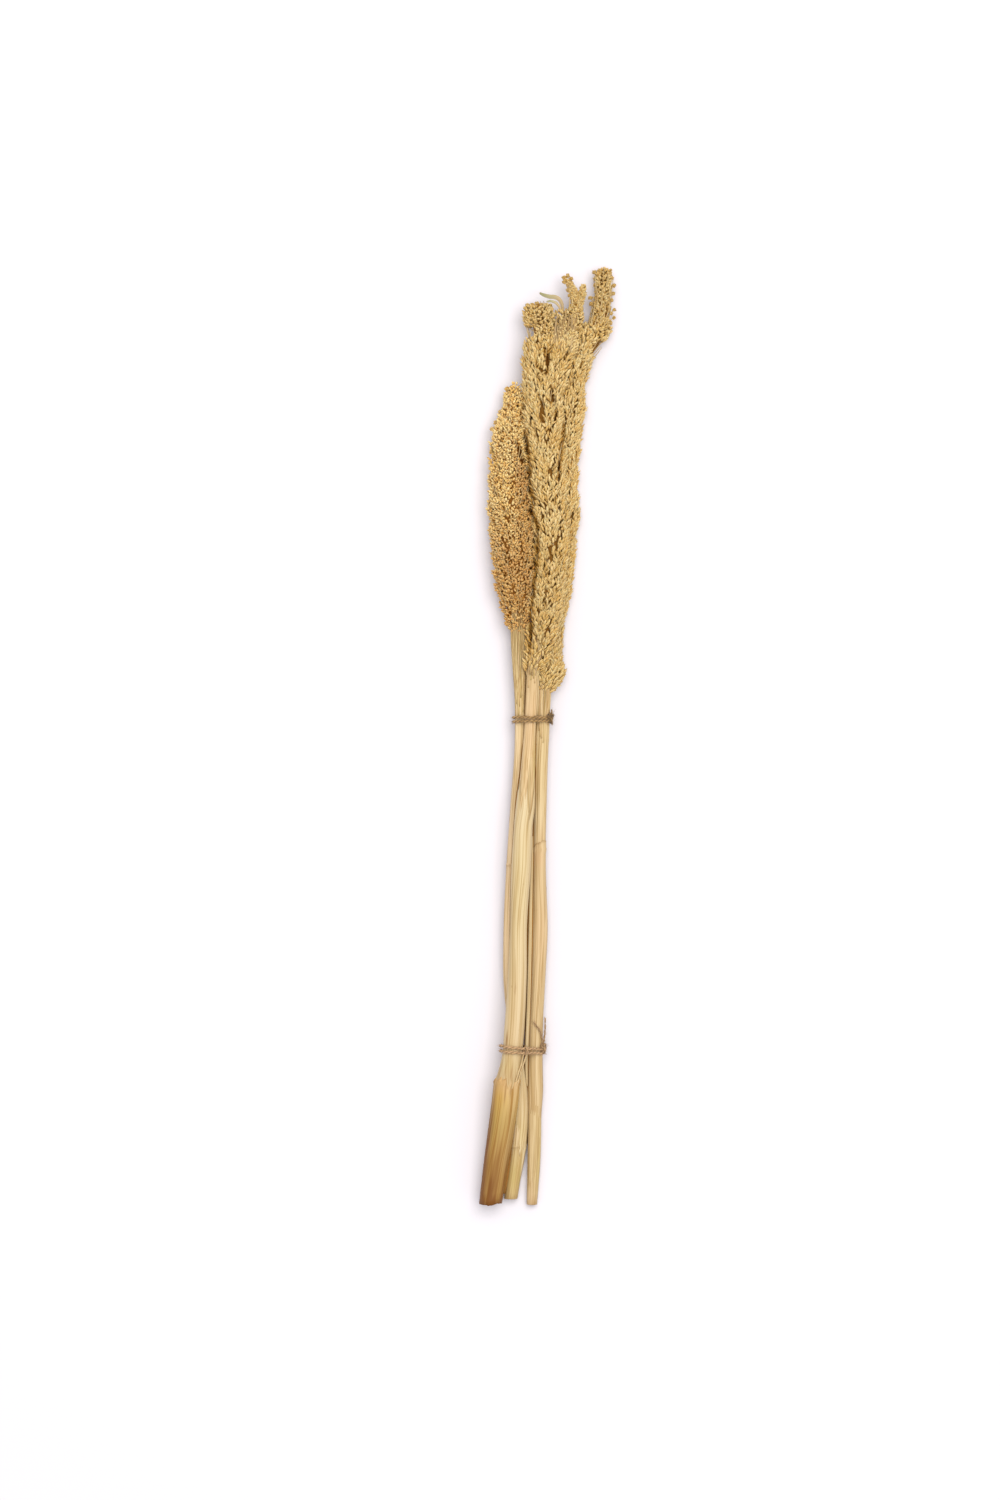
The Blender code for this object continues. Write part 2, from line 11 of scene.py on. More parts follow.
import bpy
import numpy as np
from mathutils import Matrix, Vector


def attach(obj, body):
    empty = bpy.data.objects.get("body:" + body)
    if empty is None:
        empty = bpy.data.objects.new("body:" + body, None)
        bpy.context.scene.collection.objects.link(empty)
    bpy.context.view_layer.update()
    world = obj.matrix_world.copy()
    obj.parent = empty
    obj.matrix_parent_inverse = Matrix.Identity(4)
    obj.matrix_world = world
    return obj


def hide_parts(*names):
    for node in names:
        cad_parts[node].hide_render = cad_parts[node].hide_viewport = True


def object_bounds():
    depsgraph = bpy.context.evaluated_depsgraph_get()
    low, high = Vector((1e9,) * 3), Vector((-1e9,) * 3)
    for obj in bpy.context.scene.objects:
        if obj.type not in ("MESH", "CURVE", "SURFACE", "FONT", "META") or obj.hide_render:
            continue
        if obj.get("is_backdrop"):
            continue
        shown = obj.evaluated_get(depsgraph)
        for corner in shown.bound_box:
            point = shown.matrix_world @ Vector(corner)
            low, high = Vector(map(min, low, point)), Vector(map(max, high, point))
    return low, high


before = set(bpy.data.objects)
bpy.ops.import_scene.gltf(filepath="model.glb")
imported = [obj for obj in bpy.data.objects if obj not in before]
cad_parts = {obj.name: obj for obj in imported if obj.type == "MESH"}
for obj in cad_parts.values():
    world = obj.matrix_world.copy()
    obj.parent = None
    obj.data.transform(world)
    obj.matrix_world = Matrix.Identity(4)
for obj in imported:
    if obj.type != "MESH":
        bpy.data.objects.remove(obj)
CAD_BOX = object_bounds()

MM = 0.001
print("solids:", sorted(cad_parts))
print("box in mm:", [[round(value / MM, 1) for value in corner] for corner in CAD_BOX])

# %% [markdown]
# ## Small tools for surfaces
# A surface is a grid of points: rows run along the piece, columns run across it. Numpy works out all
# the points at once. The faces are only index patterns, so a few short functions serve every piece, from
# a stem half a metre long to a husk of a few millimetres.


# %% Vectors and smooth steps
def unit(vectors):
    """Scales each vector to a length of one."""
    return vectors / np.linalg.norm(vectors, axis=-1, keepdims=True)


def smooth(low, high, value):
    """Rises from 0 at low to 1 at high as three t squared less two t cubed."""
    t = np.clip((value - low) / (high - low), 0.0, 1.0)
    return t * t * (3.0 - 2.0 * t)


def bell(value, width):
    """Is 1 at zero and falls off on both sides as e to the minus (value over width) squared."""
    return np.exp(-np.square(value / width))


print("a smooth step at a quarter, a half and three quarters:", smooth(0, 1, np.array([0.25, 0.5, 0.75])))


# %% Faces of grids and tubes
def grid_faces(rows, columns, wrap=True, wrap_rows=False):
    """Lists a quad between each two rows and columns, turned to face away from a grid's axis."""
    row = np.arange(rows if wrap_rows else rows - 1)[:, None]
    column = np.arange(columns if wrap else columns - 1)[None, :]
    above = (row + 1) % rows * columns
    after = (column + 1) % columns
    row = row * columns
    corners = np.broadcast_arrays(row + column, above + column, above + after, row + after)
    return np.stack(corners, -1).reshape(-1, 4)


def fan_faces(rows, columns):
    """Lists the triangles from a tube's end rows to its two poles, which follow the grid's points."""
    ring = np.arange(columns)
    after = (ring + 1) % columns
    first = np.full(columns, rows * columns)
    last_row = (rows - 1) * columns
    low = np.stack([first, ring, after], -1)
    high = np.stack([first + 1, last_row + after, last_row + ring], -1)
    return np.concatenate([low, high])


def repeated(faces, copies, points_each):
    """Repeats an index pattern for several bodies of the same number of points."""
    shift = np.arange(copies)[:, None, None] * points_each
    return (faces[None] + shift).reshape(-1, faces.shape[-1])


print("3 rings of 4 points:", len(grid_faces(3, 4)), "quads and", len(fan_faces(3, 4)), "triangles")


# %% Rings round centre lines
def rings(centres, reference, radii, columns, closed=False):
    """Sets rings of points round centre lines, an array of (lines, rows, 3).

    A ring is the centre plus the radius times (normal cos a + side sin a). The normal is the reference
    direction less its part along the line, and the side is normal x tangent.
    """
    if closed:
        tangent = np.roll(centres, -1, axis=1) - np.roll(centres, 1, axis=1)
    else:
        tangent = np.gradient(centres, axis=1)
    tangent = unit(tangent)
    reference = np.broadcast_to(reference, centres.shape)
    along = np.sum(reference * tangent, axis=-1, keepdims=True)
    normal = unit(reference - tangent * along)
    side = np.cross(normal, tangent)
    angle = np.arange(columns) * math.tau / columns
    turn = normal[:, :, None] * np.cos(angle)[:, None] + side[:, :, None] * np.sin(angle)[:, None]
    return centres[:, :, None] + radii[:, :, None, None] * turn


def closed_tubes(centres, reference, radii, columns):
    """Makes the points and faces of round tubes whose ends are closed at poles on the centre line."""
    lines, rows = radii.shape
    body = rings(centres, reference, radii, columns).reshape(lines, rows * columns, 3)
    points = np.concatenate([body, centres[:, :1], centres[:, -1:]], axis=1)
    step = rows * columns + 2
    quads = repeated(grid_faces(rows, columns), lines, step)
    return points.reshape(-1, 3), quads, repeated(fan_faces(rows, columns), lines, step)


trial_line = np.linspace([0.0, 0.0, 0.0], [0.0, 0.1, 0.0], 3)[None]
trial, _, _ = closed_tubes(trial_line, np.array([0.0, 0.0, 1.0]), np.full((1, 3), 2 * MM), 4)
print("a trial tube:", len(trial), "points,", round(np.ptp(trial[:, 0]) / MM, 3), "mm wide")

# %% From arrays to an object
# The tables below count from a point near the middle of the bunch. The middle itself lies here in them.
MIDDLE = np.array([-1.4, 0.4, 0.0]) * MM
NO_FACES = np.zeros((0, 3), int)
SQUASH_FROM = 29.5 * MM
SQUASH_ROOM = 2.7 * MM


def within_height(points):
    """Keeps points on the table or above it, and presses those over 29.5 mm together by a tanh."""
    z = np.maximum(points[:, 2], 0.0)
    pressed = SQUASH_FROM + SQUASH_ROOM * np.tanh((z - SQUASH_FROM) / SQUASH_ROOM)
    return np.column_stack([points[:, :2], np.where(z > SQUASH_FROM, pressed, z)])


def one_body(bodies):
    """Joins bodies of points, quads, triangles and field values, and shifts their faces' numbers to fit."""
    starts = np.cumsum([0] + [len(body[0]) for body in bodies])
    columns = list(zip(*bodies))
    for kind in (1, 2):
        columns[kind] = [faces + start for faces, start in zip(columns[kind], starts)]
    return [np.concatenate(column) for column in columns]


def make_piece(name, bodies, fields, material, slot, *stands_for):
    """Puts bodies and their named fields into a mesh at the origin, and hides the solids that it stands for.
    """
    points, quads, triangles, *values = one_body(bodies)
    mesh = bpy.data.meshes.new(name)
    corners = np.concatenate([quads.ravel(), triangles.ravel()])
    starts = np.concatenate([np.arange(len(quads)) * 4, len(quads) * 4 + np.arange(len(triangles)) * 3])
    mesh.vertices.add(len(points))
    mesh.vertices.foreach_set("co", (within_height(points) - MIDDLE).ravel())
    mesh.loops.add(len(corners))
    mesh.loops.foreach_set("vertex_index", corners.astype(np.int32))
    mesh.polygons.add(len(starts))
    mesh.polygons.foreach_set("loop_start", starts.astype(np.int32))
    mesh.update(calc_edges=True)
    mesh.validate()
    mesh.shade_smooth()
    for field, value in zip(fields, values):
        kind, key = ("FLOAT_VECTOR", "vector") if value.ndim == 2 else ("FLOAT", "value")
        mesh.attributes.new(field, kind, "POINT").data.foreach_set(key, value.astype(np.float32).ravel())
    mesh.materials.append(material)
    piece = bpy.data.objects.new(name, mesh)
    bpy.context.scene.collection.objects.link(piece)
    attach(piece, "root")
    if stands_for:
        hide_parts(*stands_for)
    low, high = points[:, 1].min() / MM, points[:, 1].max() / MM
    print(name, len(quads) * 2 + len(triangles), "triangles, from y", round(low), "to", round(high))


# %% [markdown]
# ## The lines that the bunch follows
# A stem is never quite straight. Each centre line here is a smooth curve through a short table, with one
# row for a place on the stem: y along the bunch, x across, z above the table, and the radius. They differ
# by a millimetre at most from the lines of the solid model. The finer stem, the sheath round it and the
# twine that binds them all read one table, so they fit each other.

# %% Tables of the three stems, in millimetres
STEMS = {
    "left": [
        (78.0, -22.6, 13.5, 4.2), (51.0, -21.9, 13.2, 3.9), (19.0, -21.4, 12.6, 3.6),
        (-6.0, -21.6, 12.2, 3.8), (-50.0, -24.2, 11.4, 4.4), (-96.0, -27.0, 10.6, 4.5),
        (-149.0, -29.2, 9.7, 4.5), (-180.0, -29.3, 9.2, 4.5), (-234.0, -24.0, 8.2, 4.5),
        (-252.0, -22.4, 7.6, 4.8), (-270.0, -21.4, 7.0, 5.3), (-290.0, -21.6, 6.6, 5.5),
        (-309.0, -23.2, 6.1, 5.4), (-347.0, -28.3, 4.7, 5.0),
    ],
    "middle": [
        (48.7, -11.8, 18.4, 4.3), (19.0, -13.1, 17.4, 4.3), (6.0, -13.9, 17.4, 4.3),
        (-20.0, -15.4, 19.6, 5.2), (-34.0, -16.2, 20.8, 5.8), (-50.0, -17.4, 21.7, 6.4),
        (-66.0, -19.0, 21.7, 6.0), (-96.0, -20.6, 21.4, 6.3), (-140.0, -22.5, 20.8, 5.4),
        (-180.0, -23.6, 20.5, 6.1), (-218.0, -25.9, 20.7, 6.6), (-240.0, -27.8, 20.4, 6.6),
        (-257.0, -30.9, 19.8, 8.1), (-275.0, -33.0, 18.2, 8.4), (-293.0, -35.4, 16.0, 8.3),
        (-320.0, -39.4, 13.4, 7.7), (-349.0, -43.3, 11.8, 7.4),
    ],
    "right": [
        (33.0, -3.8, 12.3, 4.1), (6.0, -4.5, 12.1, 5.0), (-20.0, -5.7, 11.6, 5.2),
        (-50.0, -6.3, 10.9, 5.0), (-93.0, -6.8, 10.2, 4.6), (-140.0, -6.8, 9.6, 5.1),
        (-180.0, -8.0, 9.3, 4.3), (-218.0, -9.7, 9.0, 4.0), (-240.0, -10.0, 8.9, 4.1),
        (-279.0, -10.1, 7.2, 4.85), (-317.0, -10.9, 5.4, 4.9), (-351.5, -12.4, 3.55, 3.8),
    ],
}
NODE_RINGS = {"left": (-96.0, -308.0), "middle": (-257.0,), "right": (-84.0,)}
RING_RISE = 0.09
RING_WIDTH = 1.7 * MM
print("rows of the stems' tables:", {stem: len(table) for stem, table in STEMS.items()})


# %% Ends, routes and radii
def ends_of(table):
    """Gives the lowest and the highest y of a table."""
    return min(table)[0] * MM, max(table)[0] * MM


def route_at(table, y):
    """Gives x, z and radius at every y: cubic Hermite pieces through the table, straight past its ends."""
    rows = np.array(sorted(table)) * MM
    stations, values = rows[:, 0], rows[:, 1:]
    slopes = np.gradient(values, stations, axis=0)
    y = np.asarray(y, float)
    inside = np.clip(y, stations[0], stations[-1])
    index = np.clip(np.searchsorted(stations, inside) - 1, 0, len(stations) - 2)
    span = (stations[index + 1] - stations[index])[..., None]
    t = (inside - stations[index])[..., None] / span
    value = values[index] * (2 * t**3 - 3 * t**2 + 1) + values[index + 1] * (3 * t**2 - 2 * t**3)
    value = value + span * (slopes[index] * (t**3 - 2 * t**2 + t) + slopes[index + 1] * (t**3 - t**2))
    beyond = (y - inside)[..., None]
    end_slope = np.where(beyond < 0, slopes[0], slopes[-1]) * np.array([1.0, 1.0, 0.0])
    return value + end_slope * beyond


def stem_radius(stem, y):
    """Gives a stem's radius: the table's, times 1 plus a bell at each node ring."""
    rise = sum(bell(y - ring * MM, RING_WIDTH) for ring in NODE_RINGS[stem])
    return route_at(STEMS[stem], y)[..., 2] * (1.0 + RING_RISE * rise)


for stem, table in STEMS.items():
    thick = 2 * max(row[3] for row in table)
    print("stem", stem, "is", round(max(table)[0] - min(table)[0]), "mm long and up to", thick, "mm thick")

# %% [markdown]
# ## Camera
# The bunch was photographed from straight above. A long lens far up keeps the lines parallel, as in
# such a picture. One pixel of the 1000 by 1500 frame is 0.75 mm at the height of the stems.

# %% Camera
PIXEL = 0.75 * MM
FRAME_CENTRE = np.array([(500.0 - 548.5) * PIXEL, (737.5 - 750.0) * PIXEL, 15.0 * MM]) - MIDDLE
LENS = 100.0
SENSOR = 36.0
HEIGHT_ABOVE = 1500 * PIXEL / 2 / (SENSOR / 2 / LENS)

camera_data = bpy.data.cameras.new("camera")
camera_data.lens = LENS
camera_data.sensor_width = SENSOR
camera_data.clip_start = 0.05
camera_data.clip_end = 50.0
camera = bpy.data.objects.new("camera", camera_data)
bpy.context.scene.collection.objects.link(camera)
camera.location = FRAME_CENTRE + np.array([0.0, 0.0, HEIGHT_ABOVE])
bpy.context.scene.camera = camera
print("the camera is", round(HEIGHT_ABOVE, 3), "m above the stems")

# %% [markdown]
# ## Floor and light
# A white table and one large soft light make the pale, soft look of a catalogue picture. The light hangs
# nearly overhead, a little to the upper right, so the shadows are short and reach further to the left and
# below. A pale sky fills the rest from all sides. The table is a painted board: white, matt and a little
# cool, which shows only in the shadows, as its lit part is as bright as the picture can be. The colours
# are shown as they are, with the Standard view.


# %% Colours, nodes and materials
def linear(code):
    """Turns an sRGB hex colour into the linear values that a shader reads."""
    srgb = np.array([int(code[place:place + 2], 16) for place in (1, 3, 5)]) / 255.0
    values = np.where(srgb <= 0.04045, srgb / 12.92, ((srgb + 0.055) / 1.055) ** 2.4)
    return (*values.tolist(), 1.0)


def node(tree, kind, inputs=None, **settings):
    """Adds a node. The settings go on the node, and each input takes a value or another node's output."""
    made = tree.nodes.new(kind)
    for key, value in settings.items():
        setattr(made, key, value)
    for key, value in (inputs or {}).items():
        if isinstance(value, bpy.types.NodeSocket):
            tree.links.new(value, made.inputs[key])
        else:
            made.inputs[key].default_value = value
    return made


def new_material(name):
    """Makes an empty material, and gives it with its node tree and its Principled shader."""
    material = bpy.data.materials.new(name)
    material.use_nodes = True
    return material, material.node_tree, material.node_tree.nodes["Principled BSDF"]


print("mid grey, #808080, is", round(linear("#808080")[0], 3), "in linear light")

# %% Floor
FLOOR_HALF = 6.0
FLOOR_DROP = 0.1 * MM

white_paint, tree, shader = new_material("white_painted_board")
shader.inputs["Base Color"].default_value = linear("#DFDCE1")
shader.inputs["Roughness"].default_value = 0.9
shader.inputs["Specular IOR Level"].default_value = 0.1

corners = np.array([(-1, -1), (1, -1), (1, 1), (-1, 1)]) * FLOOR_HALF
floor_mesh = bpy.data.meshes.new("floor")
floor_mesh.from_pydata([(x, y, -FLOOR_DROP) for x, y in corners], [], [(0, 1, 2, 3)])
floor_mesh.materials.append(white_paint)
floor = bpy.data.objects.new("floor", floor_mesh)
bpy.context.scene.collection.objects.link(floor)
floor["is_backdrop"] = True
print("floor:", 2 * FLOOR_HALF, "m wide")

# %% Light
SKY_STRENGTH = 0.78
LAMP_SIZE = 3.7
LAMP_WATTS = 186.0
LAMP_PLACE = (0.6, 0.95, 4.25)
LAMP_TILT = (math.radians(-12.6), math.radians(8.0), 0.0)

world = bpy.data.worlds.new("studio")
world.use_nodes = True
world.node_tree.nodes["Background"].inputs["Color"].default_value = linear("#F9F7FA")
world.node_tree.nodes["Background"].inputs["Strength"].default_value = SKY_STRENGTH
bpy.context.scene.world = world

lamp_data = bpy.data.lights.new("overhead", "AREA")
lamp_data.shape = "SQUARE"
lamp_data.size = LAMP_SIZE
lamp_data.energy = LAMP_WATTS
lamp_data.color = linear("#FFFDF8")[:3]
lamp = bpy.data.objects.new("overhead", lamp_data)
bpy.context.scene.collection.objects.link(lamp)
lamp.location = LAMP_PLACE
lamp.rotation_euler = LAMP_TILT

bpy.context.scene.view_settings.view_transform = "Standard"
print("lamp of", LAMP_WATTS, "W at", LAMP_PLACE)

# %% [markdown]
# ## Plant fibre
# Dry stems, leaf sheaths and twine are all bundles of straight plant fibre. The eye reads them by fine
# streaks along the fibre, broader pale and dull bands, small brown flecks, and a browner tone where the
# tissue is old or torn. One recipe makes them all. It reads three fields that each piece carries:
# `grain`, a place on the surface in millimetres with its y along the fibre; `age`, from 0 for sound
# tissue to 1 for brown, which also holds painted shade under the stems and sheaths and in the twine's
# grooves; and `hue`, from -1 where it dried pinkish to 1 where it dried olive. So the streaks follow
# each curved stem, and no seam shows.

# %% The fibre recipe
FIBRE_FIELDS = ("grain", "age", "hue")
OLIVE = "#B7A25A"
ROSE = "#CFA981"


def blend(tree, source, low, high, most, colour, towards):
    """Mixes a colour towards another by a share that rises from 0 to most as source goes low to high."""
    share = node(tree, "ShaderNodeMapRange", {0: source, 1: low, 2: high, 4: most})
    sockets = {0: share.outputs[0], 6: colour, 7: linear(towards)}
    return node(tree, "ShaderNodeMix", sockets, data_type="RGBA").outputs[2]


def fibre_material(name, pale, mid, dark, old, across, along, relief, roughness, sheen=0.0):
    """Makes streaked plant fibre. across and along are the streaks' size and relief their depth, in mm."""
    material, tree, shader = new_material(name)
    read = [node(tree, "ShaderNodeAttribute", attribute_name=field) for field in FIBRE_FIELDS]
    grain, age, hue = read[0].outputs["Vector"], read[1].outputs["Fac"], read[2].outputs["Fac"]
    noise = {}
    scales = {"fine": (1 / across, 1 / along), "band": (0.2 / across, 0.4 / along), "fleck": (0.8, 0.25),
              "line": (1.9 / across, 0.5 / along)}
    for key, (wide, long) in scales.items():
        place = node(tree, "ShaderNodeMapping", {"Vector": grain, "Scale": (wide, long, wide)})
        sockets = {"Vector": place.outputs["Vector"], "Scale": 1.0, "Detail": 3.0}
        noise[key] = node(tree, "ShaderNodeTexNoise", sockets).outputs["Fac"]
    colour = blend(tree, noise["band"], 0.36, 0.64, 1.0, linear(pale), mid)
    colour = blend(tree, hue, 0.0, 1.0, 0.75, colour, OLIVE)
    colour = blend(tree, hue, 0.0, -1.0, 0.6, colour, ROSE)
    colour = blend(tree, noise["fine"], 0.48, 0.72, 0.85, colour, dark)
    colour = blend(tree, noise["line"], 0.56, 0.63, 0.75, colour, dark)
    colour = blend(tree, noise["fleck"], 0.7, 0.77, 0.4, colour, old)
    uneven = node(tree, "ShaderNodeMapRange", {0: noise["fine"], 1: 0.25, 2: 0.75, 3: 0.72, 4: 1.3})
    aged = node(tree, "ShaderNodeMath", {0: age, 1: uneven.outputs[0]}, operation="MULTIPLY")
    colour = blend(tree, aged.outputs[0], 0.0, 1.0, 1.0, colour, old)
    tree.links.new(colour, shader.inputs["Base Color"])
    gloss = node(tree, "ShaderNodeMapRange", {0: noise["fine"], 3: roughness - 0.08, 4: roughness + 0.12})
    tree.links.new(gloss.outputs[0], shader.inputs["Roughness"])
    bump = node(tree, "ShaderNodeBump", {"Height": noise["fine"], "Distance": relief * MM, "Strength": 1.0})
    tree.links.new(bump.outputs[0], shader.inputs["Normal"])
    shader.inputs["Specular IOR Level"].default_value = 0.35
    shader.inputs["Sheen Weight"].default_value = sheen
    return material


def fibre_body(tubes, age, hue):
    """Gives points and faces their fibre fields: the place in mm as the grain, and one age and hue."""
    points, quads, fans = tubes
    level = np.ones(len(points))
    return points, quads, fans, points / MM, age * level, hue * level


print("fibre tints: olive", OLIVE, "and rose", ROSE)

# %% [markdown]
# ## Stems
# A grass stem, or culm, is a hollow rod with a hard, smooth, silica-rich rind, so it has a satin shine.
# Fine ribs run along it, drying leaves shallow creases, and at each node it swells into a ring. It is
# made as rings of points along its line, with the ribs, creases and the slight ovalness added to the
# radius by formula. At the cut end the surface turns in over the wall and down into the hollow.

# %% Straw materials
# Sound straw is pale, warm and satin from its hard rind. The streaks are drawn about 1.3 mm wide, coarser
# than real ribs, which would be too fine to show.
TINTS = {
    "left": ("dry_straw_warm", "#D9C29A", "#CBB082", "#A8864E"),
    "middle": ("dry_straw_pale", "#D2B98C", "#C4A878", "#A8834C"),
    "right": ("dry_straw_dull", "#D2BC90", "#C4AA7A", "#A4824C"),
}
STRAW = {stem: fibre_material(*tint, "#805A2A", 1.3, 60.0, 0.07, 0.5) for stem, tint in TINTS.items()}
print("straw materials:", [material.name for material in STRAW.values()])

# %% Creases and patches of hue
# Creases: angle in degrees round the stem from +X, first y, last y, depth in mm.
CREASES = {
    "left": [(64, -345, -240, 0.4), (118, -90, 60, 0.35), (70, -70, 20, 0.3), (250, -300, 30, 0.4)],
    "middle": [(60, -20, 40, 0.45), (118, -30, 44, 0.35), (240, -340, 40, 0.4)],
    "right": [(98, -348, -290, 0.5), (62, -110, -10, 0.45), (122, -70, 25, 0.35), (280, -340, 30, 0.4),
              (40, -346, -296, 0.5)],
}


def from_angle(angle, degrees):
    """Gives the distance in radians round a stem between its angles and one place."""
    return np.abs((angle - math.radians(degrees) + math.pi) % math.tau - math.pi)


def creased(creases, angle, y):
    """Sums grooves: each is a bell of 0.15 radian round its angle, which fades out at both ends."""
    total = np.zeros(np.broadcast(angle, y).shape)
    for degrees, first, last, depth in creases:
        away = from_angle(angle - 0.12 * np.sin(y / (31.0 * MM)), degrees)
        fade = smooth(first * MM, (first + 14) * MM, y) * (1 - smooth((last - 14) * MM, last * MM, y))
        total = total + depth * MM * bell(away, 0.15) * fade
    return total


# Patches of hue: angle in degrees, y in mm, half angle, half length in mm, and strength.
HUES = {
    "left": [(130, 76, 90, 34, 1.0), (60, 30, 60, 24, 0.4), (90, -330, 130, 22, 1.0),
             (120, -120, 80, 70, -0.45)],
    "middle": [(20, -16, 30, 22, 1.0), (90, 12, 80, 26, -0.7), (70, -60, 50, 30, -0.3)],
    "right": [(80, -20, 50, 34, 0.15), (20, -330, 60, 60, 0.6), (110, -110, 90, 34, -0.9),
              (90, -350, 180, 12, -0.6)],
}


def patches(rows, angle, y):
    """Sums soft oval patches, each a bell of the angle times a bell of the length."""
    total = np.zeros(np.broadcast(angle, y).shape)
    for degrees, middle, half_angle, half_length, strength in rows:
        round_it = bell(from_angle(angle, degrees), math.radians(half_angle))
        total = total + strength * (round_it * bell(y - middle * MM, half_length * MM))
    return total


print("creases:", {stem: len(rows) for stem, rows in CREASES.items()})

# %% Stem surface
CULM_COLUMNS = 96
RIB_COUNT = 20
RIB_HEIGHT = 0.06 * MM
ROW_STEP = 4.0 * MM
HOLLOW_DEPTH = 6.0 * MM
RING_TILT = {"left": 0.6 * MM, "middle": -1.2 * MM, "right": 3.0 * MM}


def stem_surface(stem):
    """Radius = table's radius + ribs + slow ovalness - creases - the rings' scars, for each y and angle."""
    bottom, top = ends_of(STEMS[stem])
    body = np.arange(bottom + 0.5 * MM, top, ROW_STEP)
    for ring in NODE_RINGS[stem]:
        body = np.append(body, ring * MM + np.linspace(-6.3, 6.3, 21) * MM)
    body = np.append(np.sort(body), top)
    y = np.concatenate([[bottom + HOLLOW_DEPTH, bottom, bottom, bottom + 0.2 * MM], body])
    share = np.concatenate([[0.7, 0.74, 0.95, 0.99], np.ones(len(body))])
    angle = np.arange(CULM_COLUMNS) * math.tau / CULM_COLUMNS
    x, z, _ = route_at(STEMS[stem], y).T
    y, share = y[:, None], share[:, None]
    ribs = RIB_HEIGHT * np.cos(RIB_COUNT * angle + 0.5 * np.sin(y / (60 * MM)))
    oval = 0.12 * MM * np.sin(2 * angle + y / (35 * MM)) + 0.06 * MM * np.sin(3 * angle - y / (22 * MM))
    to_ring = [y - ring * MM - RING_TILT[stem] * np.cos(angle) for ring in NODE_RINGS[stem]]
    scar = sum(0.22 * MM * bell(away, 0.6 * MM) for away in to_ring)
    radius = (stem_radius(stem, y) + ribs + oval - creased(CREASES[stem], angle, y) - scar) * share
    points = np.stack(np.broadcast_arrays(x[:, None] + radius * np.cos(angle), y,
                                          z[:, None] + radius * np.sin(angle)), -1)
    grain = np.stack(np.broadcast_arrays(radius * np.cos(angle), y, radius * np.sin(angle)), -1) / MM
    rings_age = sum(0.3 * bell(away, 0.8 * MM) + 0.1 * bell(away, 5 * MM) for away in to_ring)
    cut_age = 0.75 * (share < 0.8) + 0.3 * bell(y - bottom, 4 * MM) + 0.14 * bell(y - bottom, 70 * MM)
    # The lower half of the stem is drawn browner: painted shade under it and in the gaps beside it.
    underside_painted_shade = 0.4 * smooth(0.35, -0.5, np.sin(angle))
    age = np.clip(rings_age + cut_age + underside_painted_shade, 0.0, 1.0)
    hue = np.clip(patches(HUES[stem], angle, y), -1, 1)
    poles = np.array([(x[0], y[0, 0], z[0]), (x[-1], y[-1, 0], z[-1])])
    points = np.concatenate([points.reshape(-1, 3), poles])
    grain = np.concatenate([grain.reshape(-1, 3), poles / MM])
    size = len(x), CULM_COLUMNS
    age, hue = np.append(age.ravel(), [0.9, 0.2]), np.append(hue.ravel(), [0.0, 0.0])
    return points, grid_faces(*size), fan_faces(*size), grain, age, hue


for stem in STEMS:
    make_piece("culm_" + stem, [stem_surface(stem)], FIBRE_FIELDS, STRAW[stem], "straw", "stem_" + stem)

# %% [markdown]
# ## Leaf sheaths
# The lower part of a grass leaf wraps its stem as a thin sheath, paler and more matt than the rind, with
# raised veins. On a dry bunch the blades are gone and the sheaths are torn: their upper edges end in long
# ragged points. A sheath is a wall between two grids, one at its outer face and one at its inner face.
# Its upper edge is a curve of height against angle, so the torn points are real shape.

# %% Sheath materials
# A sheath is leaf tissue: softer, more matt and coarser in its streaks than the stem's rind. The youngest
# is the palest, and the oldest, at the foot, has gone brown and shows its veins most.
SHEATH_PALE = fibre_material("dry_leaf_sheath", "#D2BF98", "#C6AE80", "#A98A54", "#8A5E2A",
                             1.5, 80.0, 0.08, 0.62)
SHEATH_DULL = fibre_material("dry_leaf_sheath_tan", "#CCB489", "#BEA272", "#A07E48", "#84592A",
                             1.4, 80.0, 0.1, 0.58)
SHEATH_BROWN = fibre_material("aged_leaf_sheath", "#CCB07A", "#BC974E", "#9C7230", "#744608",
                              2.0, 60.0, 0.12, 0.52)
print("sheath materials:", SHEATH_PALE.name, SHEATH_DULL.name, SHEATH_BROWN.name)

# %% Sheath tables
# Each layer: stem, lift off the stem in mm, the distance from its upper edge over which it lifts in mm,
# first and last angle in degrees, then its upper and lower edge as y in mm at angles in degrees, how ragged
# the upper edge is in mm, and its rim's age.
LAYERS = {
    "left": [("left", 0.6, 12, -8, 168,
              [(-8, -246), (6, -243), (40, -240), (70, -244), (100, -256), (128, -271), (150, -285),
               (168, -297)],
              [(-8, -348), (6, -345), (24, -339), (34, -324), (55, -316), (80, -311), (110, -308),
               (150, -305), (168, -303)], 0.5, 0.1)],
    "middle": [("middle", 0.6, 30, -5, 318,
                [(-5, -34), (14, -28), (34, -46), (50, -63), (58, -46), (68, -10), (79, -30), (92, -47),
                 (104, -41), (117, -56), (131, -44), (150, -31), (162, -40), (200, -30), (250, -36),
                 (318, -26)],
                [(-5, -266), (90, -267), (200, -266), (318, -266)], 1.5, 0.12)],
    "base": [("middle", 1.35, 2, -30, 296,
              [(-30, -258), (20, -255), (50, -256), (62, -261), (74, -256), (84, -262), (98, -255),
               (110, -257), (124, -253), (180, -256), (296, -260)],
              [(-30, -349), (60, -349.5), (90, -350.5), (120, -350.5), (180, -349.5), (296, -349)],
              2.2, 0.0)],
    "right": [("right", 0.7, 120, -58, 198,
               [(-58, -82), (0, -77.4), (60, -77.6), (120, -79.4), (198, -86)],
               [(-58, -296), (70, -297), (130, -295), (198, -297)], 0.3, 0.4),
              ("right", 1.2, 40, -56, 98,
               [(-56, -114), (0, -112), (20, -116), (50, -136), (72, -162), (86, -200), (98, -286)],
               [(-56, -294), (40, -295), (98, -293)], 0.7, 0.3)],
}
